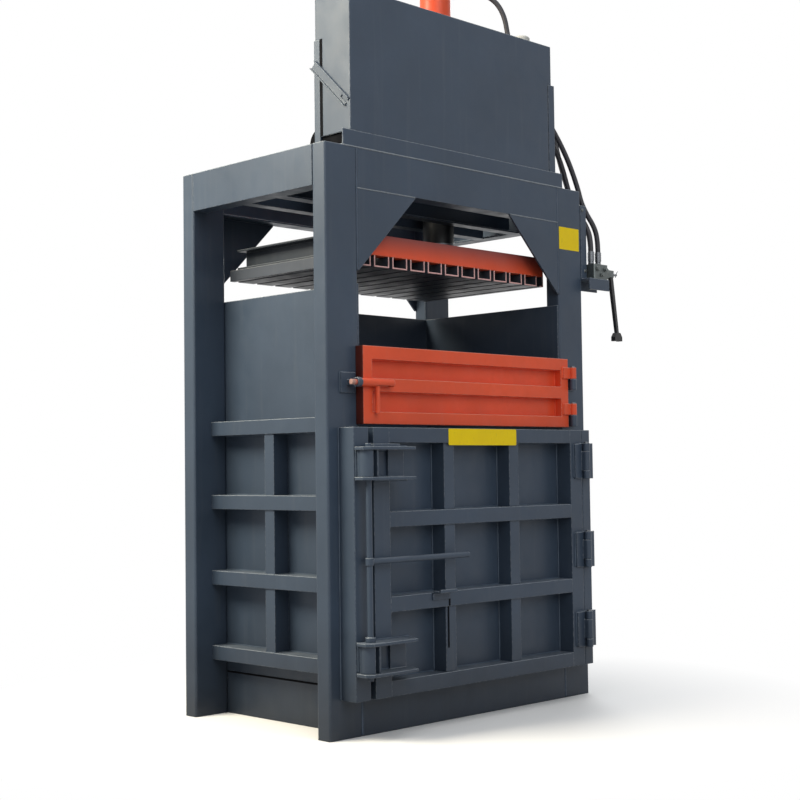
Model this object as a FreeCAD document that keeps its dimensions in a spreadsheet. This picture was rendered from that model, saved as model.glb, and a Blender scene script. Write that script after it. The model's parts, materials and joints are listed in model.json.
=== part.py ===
"""Recycling baler: a vertical press with a hinged chamber door, a feed gate and a slotted platen.

Millimetres. X runs to the right as seen from the front, Y runs to the back and Z is up. The
origin is the centre of the frame's footprint, on the floor.
"""
import FreeCAD, Part
import math
import os
import Sketcher

V = FreeCAD.Vector

SIZES = {
    # portal frame
    "frame_width": 1690, "frame_depth": 975, "frame_height": 2450, "weld_gap": 0.2,
    "cut_reach": 5, "post_width": 180, "post_depth": 80, "post_wall": 8, "post_corner": 10,
    "beam_height": 172, "beam_wall": 8, "gusset_leg": 349, "gusset_nose": 6, "gusset_thick": 10,
    "cross_beam_width": 60, "cross_beam_gap": 170,
    # chamber walls and their ribs
    "wall_thick": 8, "wall_top": 1876, "wall_lap_margin": 5, "rib_height": 63, "rib_depth": 85,
    "rib_wall": 6, "rib_setback": 6, "stiffener_offset": 5, "rib_one": 248, "rib_two": 585,
    "rib_three": 926, "rib_four": 1257,
    # base and floor
    "base_beam_height": 155, "base_side_height": 190, "base_side_width": 50,
    "floor_plate_thick": 12, "bearer_width": 70, "bearer_pitch": 400, "bar_count": 11,
    "bar_side_gap": 15, "bar_width": 90, "bar_wall": 6, "bar_margin": 4.5,
    # lock column and hinge column beside the door
    "lock_column_inset": 60, "lock_column_width": 84, "hinge_column_offset": 39,
    "hinge_column_width": 60, "column_depth": 92.5, "column_wall": 6, "column_corner": 5,
    # door
    "door_lap": 10, "door_right_gap": 4, "door_bottom": 160, "door_top": 1271, "door_gap": 0.5,
    "door_skin": 8, "door_stile_left": 92, "door_stile_right": 85, "door_rail_wall": 6,
    "door_rail_top": 63, "door_rail_bottom": 65, "door_rib_low": 506, "door_rib_high": 857,
    "door_rib_height": 64, "door_upright_width": 64, "door_upright_setback": 8,
    "door_upright_place": 215,
    # door hinges
    "hinge_axis_gap": 2, "hinge_axis_reach": 28, "hinge_low": 330, "hinge_middle": 705,
    "hinge_high_drop": 147, "hinge_radius": 16.5, "hinge_half": 84, "hinge_door_half": 45,
    "hinge_gap": 1, "hinge_leaf_run": 70, "hinge_door_leaf_run": 62, "hinge_leaf_gap": 0.5,
    "hinge_leaf_taper": 4, "pin_radius": 8, "pin_fit": 0.05, "pin_head": 11, "pin_head_height": 6,
    # door lock
    "lock_axis_reach": 42, "keeper_radius": 42, "keeper_height": 109, "keeper_high_drop": 149,
    "keeper_low": 333, "keeper_slot": 22, "keeper_saddle": 60, "keeper_saddle_inset": 25,
    "rod_radius": 12.5, "rod_fit": 0.5, "rod_flat": 17, "rod_bottom": 246, "rod_top": 1204,
    "lug_thick": 13, "lug_gap": 0.5, "lug_overhang": 11, "lug_run": 193, "lug_reach": 92,
    "lug_slant": 38, "lug_nose": 26, "lug_column_gap": 3, "lug_bore_fit": 0.1,
    "lug_base_inset": 72, "lug_base_width": 91, "lug_base_thick": 12, "stop_inset": 27,
    "stop_width": 149, "stop_thick": 12, "stop_run": 44, "collar_radius": 21, "collar_height": 20,
    "lever_height": 725, "lever_radius": 12.5, "lever_length": 593, "lever_hub_radius": 17,
    "lever_hub_height": 30, "lever_dome": 5, "rest_place": 124, "rest_width": 104,
    "rest_reach": 46, "rest_thick": 6, "rest_lip": 14, "rest_step": 15,
    # feed gate
    "gate_lap_left": 19, "gate_lap_right": 2, "gate_rise": 15, "gate_height": 326, "gate_gap": 1,
    "gate_depth": 44, "gate_stile": 53, "gate_wall": 4, "gate_rail_top": 55, "gate_mid_rise": 136,
    "gate_mid_height": 56, "gate_rail_bottom": 51, "gate_sheet": 4, "gate_axis_gap": 21,
    "gate_axis_reach": 13.5, "gate_knuckle": 53, "gate_knuckle_rise": 59,
    "gate_knuckle_pitch": 173, "gate_leaf_thick": 8, "gate_leaf_run": 62, "gate_mate_run": 72,
    # gate bolt
    "bolt_rise": 171, "bolt_radius": 11, "bolt_fit": 0.1, "bolt_reach": 84, "bolt_length": 228,
    "bolt_travel": 60, "bolt_handle_place": 151, "bolt_handle_radius": 10,
    "bolt_handle_length": 128, "guide_radius": 17, "guide_reach": 30, "guide_length": 184,
    "guide_saddle": 24, "keeper_plate_inset": 109, "keeper_plate_width": 82,
    "keeper_plate_drop": 42, "keeper_plate_height": 85, "keeper_plate_thick": 8,
    "keeper_ring_inset": 34, "keeper_ring_length": 23, "keeper_ring_radius": 20,
    "slot_clearance": 1,
    # platen
    "platen_drop": 308, "platen_bar_height": 50, "platen_side_gap": 9, "platen_front_gap": 2.5,
    "platen_rear_gap": 9.5, "platen_frame_setback": 55, "platen_frame_height": 90,
    "platen_beam_width": 60, "platen_centre_width": 120, "platen_wall": 8, "platen_edge": 27,
    "platen_edge_wall": 5,
    # cylinders
    "cylinder_place": 340, "cylinder_radius": 76, "cylinder_bore": 62.5, "cylinder_drop": 86,
    "cylinder_head": 32, "cylinder_length": 1280, "flange_radius": 112, "flange_thick": 25,
    "cylinder_port_drop": 26, "port_radius": 19, "port_length": 22, "port_inset": 8,
    "gland_radius": 80, "gland_rim": 12, "gland_depth": 30, "gland_fit": 0.05,
    "piston_rod_radius": 42.5, "piston_fit": 0.05, "piston_height": 48, "piston_top_gap": 6,
    "rod_foot_radius": 82, "rod_foot_thick": 20, "mount_plate": 300, "mount_plate_thick": 30,
    "mount_plate_fit": 0.5, "link_pipe_radius": 11,
    # hood
    "hood_rail_left_inset": 105, "hood_rail_right_inset": 139, "hood_rail_height": 70,
    "hood_rail_leg": 50, "hood_rail_thick": 6, "hood_left_inset": 43, "hood_right_inset": 72,
    "hood_rise": 680, "hood_sheet": 3, "hood_return": 216, "hood_notch_drop": 188,
    "hood_notch_back": 182, "hood_step": 28, "hood_bend": 4, "upright_width": 35,
    "upright_thick": 5, "upright_gap": 8, "upright_right_width": 43, "upright_right_gap": 6,
    "support_bar_width": 80, "support_gap": 5, "brace_width": 42, "brace_depth": 14,
    "brace_wall": 4, "brace_inset": 17.5, "brace_rise": 190, "brace_run": 208, "brace_climb": 198,
    "brace_fork": 46, "brace_fork_gap": 12,
    # oil tank, motor and pump
    "tank_width": 410, "tank_right_inset": 146, "tank_inset": 17.5,
    "tank_height": 638, "tank_corner": 18, "tank_lid": 6, "tank_lid_lip": 8, "cap_side_inset": 44,
    "cap_front_inset": 66, "cap_radius": 40, "cap_neck": 24, "cap_neck_height": 22,
    "cap_height": 74, "cap_bevel": 8, "motor_inset": 107, "motor_length": 290,
    "motor_set_back": 177.5, "motor_axis_rise": 135.8, "motor_radius": 100, "motor_fin": 9,
    "motor_fins": 12, "motor_foot_half": 88, "motor_foot_drop": 80, "motor_box_top": 135,
    "motor_plate_thick": 8, "motor_plate_margin": 12, "motor_shaft_housing": 55,
    "bell_length": 110, "bell_rim": 11, "pump_length": 120, "pump_half": 52,
    # valve beside the right post
    "bracket_width": 42, "bracket_drop": 430, "bracket_height": 363, "bracket_thick": 8,
    "valve_set_back": 25.5, "shelf_length": 155, "shelf_depth": 76, "shelf_height": 56,
    "valve_gap": 4, "valve_height": 74, "valve_depth": 70, "valve_cap_length": 42,
    "valve_cap_radius": 26, "valve_cap_bevel": 7, "handle_axis_gap": 22, "handle_axis_rise": 38,
    "handle_fork": 34, "handle_width": 22, "handle_thick": 17, "handle_lean": 45,
    "handle_length": 292, "handle_foot_half": 8, "handle_boss": 15, "handle_pin": 5,
    "knob_width": 58, "knob_height": 42, "knob_thick": 26, "knob_shoulder": 14, "knob_waist": 10,
    "knob_groove": 7, "fork_wall": 7, "fork_embed": 13, "fitting_inset": 20, "fitting_pitch": 28,
    "fitting_back": 24, "neck_height": 16, "neck_radius": 10.5, "ferrule_radius": 15,
    "ferrule_length": 48, "tank_port_inset": 130, "tank_port_drop": 189, "port_swing": 45,
    "hose_radius": 12.5,
}


def value(size):
    """The number behind a size."""
    return size.value if isinstance(size, Size) else float(size)


def text(size):
    """The sheet expression behind a size."""
    return size.text if isinstance(size, Size) else "(%r)" % float(size)


class Size:
    """A length that carries its value and the sheet expression that gives it."""

    def __init__(self, number, expression):
        self.value = number
        self.text = expression

    def __add__(self, other):
        return Size(self.value + value(other), "(%s + %s)" % (self.text, text(other)))

    def __radd__(self, other):
        return self + other

    def __sub__(self, other):
        return Size(self.value - value(other), "(%s - %s)" % (self.text, text(other)))

    def __rsub__(self, other):
        return Size(value(other) - self.value, "(%s - %s)" % (text(other), self.text))

    def __mul__(self, factor):
        return Size(self.value * value(factor), "(%s * %s)" % (self.text, text(factor)))

    def __rmul__(self, factor):
        return self * factor

    def __truediv__(self, divisor):
        return Size(self.value / value(divisor), "(%s / %s)" % (self.text, text(divisor)))

    def __neg__(self):
        return Size(-self.value, "(0 - %s)" % self.text)


class Sizes:
    """The sheet's sizes as attributes, by their alias."""


doc = FreeCAD.newDocument("recycling_baler")
sheet = doc.addObject("Spreadsheet::Sheet", "sizes")
D = Sizes()
for row, (alias, number) in enumerate(SIZES.items(), start=1):
    sheet.set("A%d" % row, alias)
    sheet.set("B%d" % row, str(number))
    sheet.setAlias("B%d" % row, alias)
    setattr(D, alias, Size(float(number), "sizes." + alias))
doc.recompute()

PLANES = {"X": "YZ_Plane", "Y": "XZ_Plane", "Z": "XY_Plane"}
nodes = []
pockets = []


# ---------------------------------------------------------------- drawing helpers

def new_body(name):
    """An empty body whose label is the node's name; it may hold several like solids."""
    body = doc.addObject("PartDesign::Body", name)
    body.Label = name
    body.AllowCompound = True
    nodes.append(body)
    return body


def rect(left, right, low, high):
    """The four corners of an upright rectangle."""
    return [(left, low), (right, low), (right, high), (left, high)]


def tube(left, right, low, high, wall):
    """The two outlines of a rectangular tube's section."""
    inner = rect(left + wall, right - wall, low + wall, high - wall)
    return [rect(left, right, low, high), inner]


def circle(across, up, radius):
    """A circle as centre and radius."""
    return ("circle", across, up, radius)


def channel(left, right, low, high, wall, opening):
    """A folded channel's section; opening is the side it is open to: +u, -u, +v or -v."""
    inside = [left + wall, right - wall, low + wall, high - wall]
    outline = {
        "+u": [(left, low), (right, low), (right, inside[2]), (inside[0], inside[2]),
               (inside[0], inside[3]), (right, inside[3]), (right, high), (left, high)],
        "-u": [(right, low), (right, high), (left, high), (left, inside[3]),
               (inside[1], inside[3]), (inside[1], inside[2]), (left, inside[2]), (left, low)],
        "+v": [(left, high), (left, low), (right, low), (right, high),
               (inside[1], high), (inside[1], inside[2]), (inside[0], inside[2]), (inside[0], high)],
        "-v": [(left, low), (inside[0], low), (inside[0], inside[3]), (inside[1], inside[3]),
               (inside[1], low), (right, low), (right, high), (left, high)],
    }
    return outline[opening]


def constrain_point(sketch, curve, end, point):
    """Hold one point of a curve at its place across and up."""
    for kind, size in zip(("DistanceX", "DistanceY"), point):
        index = sketch.addConstraint(Sketcher.Constraint(kind, -1, 1, curve, end, value(size)))
        sketch.setExpression("Constraints[%d]" % index, text(size))


def add_sketch(body, axis, offset, loops, centre=(0, 0)):
    """A sketch square to an axis, at an offset along it, with polygons and circles."""
    sketch = body.newObject("Sketcher::SketchObject", body.Name + "_sketch")
    plane = [item for item in body.Origin.OriginFeatures if item.Role == PLANES[axis]][0]
    sketch.AttachmentSupport = [(plane, "")]
    sketch.MapMode = "FlatFace"
    along = -1 * offset if axis == "Y" else offset
    for letter, size in zip("xyz", (centre[0], centre[1], along)):
        sketch.setExpression("AttachmentOffset.Base." + letter, text(size))
    for loop in loops:
        first = sketch.GeometryCount
        if loop[0] == "circle":
            middle = V(value(loop[1]), value(loop[2]), 0)
            sketch.addGeometry(Part.Circle(middle, V(0, 0, 1), value(loop[3])), False)
            constrain_point(sketch, first, 3, loop[1:3])
            index = sketch.addConstraint(Sketcher.Constraint("Radius", first, value(loop[3])))
            sketch.setExpression("Constraints[%d]" % index, text(loop[3]))
            continue
        corners = [V(value(across), value(up), 0) for across, up in loop]
        for number, corner in enumerate(corners):
            following = corners[(number + 1) % len(corners)]
            sketch.addGeometry(Part.LineSegment(corner, following), False)
        for number, point in enumerate(loop):
            previous = first + (number - 1) % len(loop)
            joint = Sketcher.Constraint("Coincident", previous, 2, first + number, 1)
            sketch.addConstraint(joint)
            constrain_point(sketch, first + number, 1, point)
    return sketch


def pad(body, axis, loops, start, end):
    """Add the loops' section from start to end along an axis."""
    feature = body.newObject("PartDesign::Pad", body.Name + "_pad")
    feature.Profile = add_sketch(body, axis, start, loops)
    feature.Reversed = axis == "Y"
    feature.setExpression("Length", text(end - start))
    return feature


def cut(body, axis, loops, start, end):
    """Take the loops' section away from start to end along an axis."""
    feature = body.newObject("PartDesign::Pocket", body.Name + "_cut")
    feature.Profile = add_sketch(body, axis, start, loops)
    feature.Reversed = axis != "Y"
    feature.setExpression("Length", text(end - start))
    pockets.append(feature)
    return feature


def turn(body, outline, across, depth):
    """Turn an outline of (radius, height) points about an upright axis at (across, depth)."""
    feature = body.newObject("PartDesign::Revolution", body.Name + "_turn")
    profile = add_sketch(body, "Y", depth, [outline], centre=(across, 0))
    feature.Profile = profile
    feature.ReferenceAxis = (profile, ["V_Axis"])
    feature.Angle = 360
    return feature


def turn_level(body, outline, depth, height, origin=0, swing=0):
    """Turn an outline of (run, radius) points about a level axis at (depth, height).

    The runs are measured along X from origin, or, with a swing, along a level line that is
    swung from X by so many degrees to the back.
    """
    feature = body.newObject("PartDesign::Revolution", body.Name + "_turn")
    profile = add_sketch(body, "Y", depth, [outline], centre=(origin, height))
    offset = profile.AttachmentOffset
    offset.Rotation = FreeCAD.Rotation(V(0, 1, 0), swing)
    profile.AttachmentOffset = offset
    feature.Profile = profile
    feature.ReferenceAxis = (profile, ["H_Axis"])
    feature.Angle = 360
    return feature


def round_edges(body, axis, radius, places=None):
    """Round the body's outer edges that run along an axis, or only those at given places."""
    doc.recompute()
    base = body.Tip
    box = base.Shape.BoundBox
    pick = {"X": ("y", "z"), "Y": ("x", "z"), "Z": ("x", "y")}[axis]
    limits = {"x": (box.XMin, box.XMax), "y": (box.YMin, box.YMax), "z": (box.ZMin, box.ZMax)}
    if places is None:
        places = [(u, v) for u in limits[pick[0]] for v in limits[pick[1]]]
    names = []
    for number, edge in enumerate(base.Shape.Edges, start=1):
        if len(edge.Vertexes) != 2 or edge.Curve.TypeId != "Part::GeomLine":
            continue
        start, end = edge.Vertexes[0].Point, edge.Vertexes[1].Point
        for place in places:
            across = [abs(getattr(p, pick[0]) - value(place[0])) for p in (start, end)]
            up = [abs(getattr(p, pick[1]) - value(place[1])) for p in (start, end)]
            if max(across + up) < 0.01:
                names.append("Edge%d" % number)
    feature = body.newObject("PartDesign::Fillet", body.Name + "_round")
    feature.Base = (base, names)
    feature.setExpression("Radius", text(radius))
    doc.recompute()
    return feature


# ---------------------------------------------------------------- shared places

GROUND = Size(0.0, "0")
half_width = D.frame_width / 2
half_depth = D.frame_depth / 2
front = -half_depth
post_back = front + D.post_depth
post_inner = half_width - D.post_width
beam_bottom = D.frame_height - D.beam_height
column_front = front - D.column_depth
door_back = front - D.door_gap
door_front = column_front
skin_front = door_back - D.door_skin
gate_back = front - D.gate_gap
gate_front = gate_back - D.gate_depth
wall_reach = half_depth - D.wall_lap_margin
floor_low = D.base_beam_height - D.floor_plate_thick
floor_top = D.base_side_height
motor_plate_top = D.frame_height + D.hood_rail_thick + D.weld_gap + D.motor_plate_thick

# lock column, hinge column and door
lock_column_left = D.lock_column_inset - half_width
lock_column_right = lock_column_left + D.lock_column_width
hinge_column_left = post_inner + D.hinge_column_offset
hinge_column_right = hinge_column_left + D.hinge_column_width
door_left = -post_inner - D.door_lap
door_right = hinge_column_left - D.door_right_gap
hinge_axis_x = door_right + D.hinge_axis_gap
hinge_axis_y = column_front - D.hinge_axis_reach
hinge_high = D.door_top - D.hinge_high_drop

# door lock
lock_axis_x = (lock_column_left + lock_column_right) / 2
lock_axis_y = column_front - D.lock_axis_reach
keeper_high = D.door_top - D.keeper_high_drop
lug_left = lock_column_left - D.lug_overhang
lug_right = door_left + D.lug_run
lug_front = column_front - D.lug_reach
lug_front_right = lug_right - D.lug_slant
lug_base_left = door_left + D.lug_base_inset
lug_base_right = lug_base_left + D.lug_base_width
stop_left = lock_axis_x + D.stop_inset
stop_right = stop_left + D.stop_width
lever_end = lock_axis_x + D.lever_length
rest_left = -D.door_upright_place - D.rest_place
rest_right = rest_left + D.rest_width

# feed gate and its bolt
gate_left = -post_inner - D.gate_lap_left
gate_right = post_inner + D.gate_lap_right
gate_bottom = D.door_top + D.gate_rise
gate_top = gate_bottom + D.gate_height
gate_mid_bottom = gate_bottom + D.gate_mid_rise
gate_mid_top = gate_mid_bottom + D.gate_mid_height
gate_axis_x = gate_right + D.gate_axis_gap
gate_axis_y = gate_front - D.gate_axis_reach
gate_knuckle_low = gate_bottom + D.gate_knuckle_rise
gate_knuckle_high = gate_knuckle_low + D.gate_knuckle_pitch
bolt_height = gate_bottom + D.bolt_rise
bolt_tip = gate_left - D.bolt_reach
bolt_end = bolt_tip + D.bolt_length
bolt_handle_x = bolt_tip + D.bolt_handle_place
bolt_handle_low = bolt_height - D.bolt_handle_length
guide_left = gate_left - D.guide_reach
guide_right = guide_left + D.guide_length
keeper_plate_left = -post_inner - D.keeper_plate_inset
keeper_plate_right = keeper_plate_left + D.keeper_plate_width
keeper_plate_low = bolt_height - D.keeper_plate_drop
keeper_plate_high = keeper_plate_low + D.keeper_plate_height
keeper_ring_left = keeper_plate_left + D.keeper_ring_inset
keeper_ring_right = keeper_ring_left + D.keeper_ring_length

# platen and cylinders
platen_bottom = beam_bottom - D.platen_drop
platen_bar_top = platen_bottom + D.platen_bar_height
platen_top = platen_bar_top + D.platen_frame_height
platen_half_width = post_inner - D.wall_thick - D.platen_side_gap
platen_front = post_back + D.platen_front_gap
platen_bar_back = -post_back - D.wall_thick - D.platen_rear_gap
platen_frame_back = platen_bar_back - D.platen_frame_setback
cylinder_bottom = beam_bottom - D.cylinder_drop
cylinder_top = cylinder_bottom + D.cylinder_length
cylinder_inner_top = cylinder_top - D.cylinder_head

# hood, tank and motor
hood_rail_left = D.hood_rail_left_inset - half_width
hood_rail_right = half_width - D.hood_rail_right_inset
hood_left = hood_rail_left + D.hood_left_inset
hood_right = hood_rail_right - D.hood_right_inset
hood_right_low = hood_right - D.hood_step
hood_top = D.frame_height + D.hood_rise
hood_notch_top = hood_top - D.hood_notch_drop
brace_front_y = front + D.brace_inset
brace_front_z = D.frame_height + D.brace_rise
brace_back_y = brace_front_y + D.brace_run
brace_back_z = brace_front_z + D.brace_climb
tank_right = hood_rail_right - D.tank_right_inset
tank_left = tank_right - D.tank_width
tank_front = front + D.tank_inset
tank_back = -D.mount_plate / 2
tank_top = D.frame_height + D.hood_rail_thick + D.tank_height
cap_x = tank_right - D.cap_side_inset
cap_y = tank_front + D.cap_front_inset
motor_left = hood_left + D.motor_inset
motor_right = motor_left + D.motor_length
motor_axis_y = front + D.motor_set_back
motor_axis_z = motor_plate_top + D.motor_axis_rise

# valve and its hoses
bracket_right = half_width + D.bracket_width
bracket_bottom = D.frame_height - D.bracket_drop
bracket_top = bracket_bottom + D.bracket_height
valve_back = front + D.valve_set_back
shelf_right = half_width + D.shelf_length
valve_left = bracket_right + D.valve_gap
valve_right = shelf_right
valve_cap_end = valve_right + D.valve_cap_length
handle_axis_x = valve_cap_end + D.handle_axis_gap
handle_foot_x = handle_axis_x + D.handle_lean
handle_foot_z = bracket_bottom + D.handle_axis_rise - D.handle_length
fitting_one = valve_left + D.fitting_inset
fitting_two = fitting_one + D.fitting_pitch
fitting_three = fitting_two + D.fitting_pitch
tank_port_y = tank_front + D.tank_port_inset
tank_port_z = tank_top - D.tank_port_drop

cylinder_sides = (-D.cylinder_place, D.cylinder_place)
bar_reach = post_inner - D.base_side_width - D.bar_side_gap - D.bar_width / 2
bar_places = [bar_reach * (2 * number / (SIZES["bar_count"] - 1) - 1)
              for number in range(SIZES["bar_count"])]


def mirrored(side, near, far):
    """A range of X on the left (side -1) or right (side +1), as (low, high)."""
    return (-far, -near) if side < 0 else (near, far)


def facing(side):
    """The side of a section that looks to the middle of the machine, from one side of it."""
    return "+u" if side < 0 else "-u"


# ---------------------------------------------------------------- portal frame

def build_posts(name, low_y, high_y):
    """A pair of box-section posts, closed on top, with rounded long corners."""
    posts = new_body(name)
    ranges = [mirrored(side, post_inner, half_width) for side in (-1, 1)]
    pad(posts, "Z", [rect(left, right, low_y, high_y) for left, right in ranges], GROUND,
        D.frame_height)
    corners = [(x, y) for left, right in ranges for x in (left, right) for y in (low_y, high_y)]
    round_edges(posts, "Z", D.post_corner, corners)
    wall = D.post_wall
    inners = [rect(left + wall, right - wall, low_y + wall, high_y - wall)
              for left, right in ranges]
    cut(posts, "Z", inners, GROUND, D.frame_height - wall)


def build_frame():
    """Four posts, the four top beams between them and the corner gussets."""
    build_posts("front_posts", front, post_back)
    build_posts("rear_posts", -post_back, half_depth)
    side_beams = new_body("side_top_beams")
    for side in (-1, 1):
        left, right = mirrored(side, half_width - D.post_depth, half_width)
        section = channel(left, right, beam_bottom, D.frame_height, D.beam_wall, facing(side))
        pad(side_beams, "Y", [section], post_back, -post_back)
    cross_beams = new_body("front_and_rear_top_beams")
    sections = [channel(front, post_back, beam_bottom, D.frame_height, D.beam_wall, "+u"),
                channel(-post_back, half_depth, beam_bottom, D.frame_height, D.beam_wall, "-u")]
    pad(cross_beams, "X", sections, -post_inner, post_inner)
    gussets = new_body("corner_gussets")
    for start in (front, half_depth - D.gusset_thick):
        outlines = []
        for side in (-1, 1):
            outlines.append([(side * post_inner, beam_bottom),
                             (side * (post_inner - D.gusset_leg), beam_bottom),
                             (side * (post_inner - D.gusset_leg), beam_bottom - D.gusset_nose),
                             (side * (post_inner - D.gusset_nose), beam_bottom - D.gusset_leg),
                             (side * post_inner, beam_bottom - D.gusset_leg)])
        pad(gussets, "Y", outlines, start, start + D.gusset_thick)
    cross = new_body("cylinder_cross_beams")
    near = D.cross_beam_gap / 2
    far = near + D.cross_beam_width
    sections = [channel(-far, -near, beam_bottom, D.frame_height, D.beam_wall, "-u"),
                channel(near, far, beam_bottom, D.frame_height, D.beam_wall, "+u")]
    pad(cross, "X", sections, D.post_depth - half_width, half_width - D.post_depth)


# ---------------------------------------------------------------- chamber

def build_walls():
    """Side walls that lap on the posts, the rear wall, and folded ribs outside them."""
    ribs = (D.rib_one, D.rib_two, D.rib_three, D.rib_four)
    half_rib = D.rib_height / 2
    rib = new_body("side_wall_ribs")
    for side, word in ((-1, "left"), (1, "right")):
        wall = new_body("%s_wall" % word)
        left, right = mirrored(side, post_inner - D.wall_thick, post_inner)
        pad(wall, "Z", [rect(left, right, -wall_reach, wall_reach)], floor_top, D.wall_top)
        laps = [rect(left, right, -wall_reach, post_back), rect(left, right, -post_back, wall_reach)]
        pad(wall, "Z", laps, D.base_beam_height, floor_top)
        left, right = mirrored(side, post_inner, post_inner + D.rib_depth)
        sections = [channel(left, right, low, low + D.rib_height, D.rib_wall, facing(side))
                    for low in ribs]
        pad(rib, "Y", sections, post_back, -post_back)
        left, right = mirrored(side, post_inner, post_inner + D.rib_depth - D.rib_setback)
        stiffener = channel(left, right, D.stiffener_offset - half_rib,
                            D.stiffener_offset + half_rib, D.rib_wall, facing(side))
        for low, high in zip(ribs, ribs[1:]):
            pad(rib, "Z", [stiffener], low + D.rib_height + D.weld_gap, high - D.weld_gap)
    rear = new_body("rear_wall")
    side_x = post_inner - D.wall_thick
    back = -post_back
    pad(rear, "Z", [rect(-side_x, side_x, back - D.wall_thick, back)], D.base_beam_height, D.wall_top)
    reach = D.cut_reach
    corners = [mirrored(side, post_inner - D.base_side_width, side_x + reach) for side in (-1, 1)]
    notches = [rect(left, right, back - D.wall_thick - reach, back + reach)
               for left, right in corners]
    cut(rear, "Z", notches, D.base_beam_height, floor_top)
    rib = new_body("rear_wall_ribs")
    depth = D.post_depth
    sections = [channel(back, back + depth, low, low + D.rib_height, D.rib_wall, "-u")
                for low in ribs]
    pad(rib, "X", sections, -side_x, side_x)
    stiffener = channel(-half_rib, half_rib, back, back + depth - D.rib_setback, D.rib_wall, "-v")
    for low, high in zip(ribs, ribs[1:]):
        pad(rib, "Z", [stiffener], low + D.rib_height + D.weld_gap, high - D.weld_gap)


def build_base():
    """Base beams, bearers, the floor plate and the floor bars with strap gaps between them."""
    beams = new_body("base_beams")
    for low_y, high_y in ((front, post_back), (-post_back, half_depth)):
        section = tube(low_y, high_y, GROUND, D.base_beam_height, D.beam_wall)
        pad(beams, "X", section, -post_inner, post_inner)
    for side in (-1, 1):
        left, right = mirrored(side, post_inner - D.base_side_width, post_inner)
        section = channel(left, right, GROUND, D.base_side_height, D.wall_thick, facing(side))
        pad(beams, "Y", [section], post_back + D.weld_gap, -post_back - D.weld_gap)
    bearers = new_body("floor_bearers")
    half = D.bearer_width / 2
    sections = [channel(D.bearer_pitch * place - half, D.bearer_pitch * place + half,
                        GROUND, floor_low, D.beam_wall, "+u") for place in (-1, 0, 1)]
    pad(bearers, "Y", sections, post_back, -post_back)
    side_x = post_inner - D.wall_thick
    plate = new_body("floor_plate")
    pad(plate, "Z", [rect(-side_x, side_x, post_back, -post_back)], floor_low, D.base_beam_height)
    bars = new_body("floor_bars")
    half = D.bar_width / 2
    sections = [channel(place - half, place + half, D.base_beam_height, floor_top,
                        D.bar_wall, "-v") for place in bar_places]
    pad(bars, "Y", sections, front + D.bar_margin, -post_back - D.wall_thick)


def build_columns():
    """The two box columns in front of the posts that carry the door's lock and hinges."""
    for name, left, right in (("lock_column", lock_column_left, lock_column_right),
                              ("hinge_column", hinge_column_left, hinge_column_right)):
        column = new_body(name)
        pad(column, "Z", [rect(left, right, column_front, front)], D.door_bottom, D.door_top)
        round_edges(column, "Z", D.column_corner, [(left, column_front), (right, column_front)])
        wall = D.column_wall
        inner = rect(left + wall, right - wall, column_front + wall, front - wall)
        cut(column, "Z", [inner], D.door_bottom, D.door_top - wall)


# ---------------------------------------------------------------- door

def build_door():
    """The chamber door: a skin, channel rails and uprights on it, and box stiles."""
    skin = new_body("door_panel")
    outline = rect(door_left, door_right, skin_front, door_back)
    pad(skin, "Z", [outline], D.door_bottom, D.door_top)
    rails = new_body("door_rails")
    levels = [(D.door_bottom, D.door_bottom + D.door_rail_bottom),
              (D.door_rib_low, D.door_rib_low + D.door_rib_height),
              (D.door_rib_high, D.door_rib_high + D.door_rib_height),
              (D.door_top - D.door_rail_top, D.door_top)]
    left = door_left + D.door_stile_left
    right = door_right - D.door_stile_right
    sections = [channel(door_front, skin_front, low, high, D.door_rail_wall, "+u")
                for low, high in levels]
    pad(rails, "X", sections, left, right)
    uprights = new_body("door_uprights")
    half = D.door_upright_width / 2
    sections = [channel(place - half, place + half, door_front + D.door_upright_setback,
                        skin_front, D.door_rail_wall, "+v")
                for place in (-D.door_upright_place, D.door_upright_place)]
    for below, above in zip(levels, levels[1:]):
        pad(uprights, "Z", sections, below[1], above[0])
    stiles = new_body("door_stiles")
    for low_x, high_x in ((door_left, left), (right, door_right)):
        section = tube(low_x, high_x, door_front, skin_front, D.door_rail_wall)
        pad(stiles, "Z", section, D.door_bottom, D.door_top)


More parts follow.
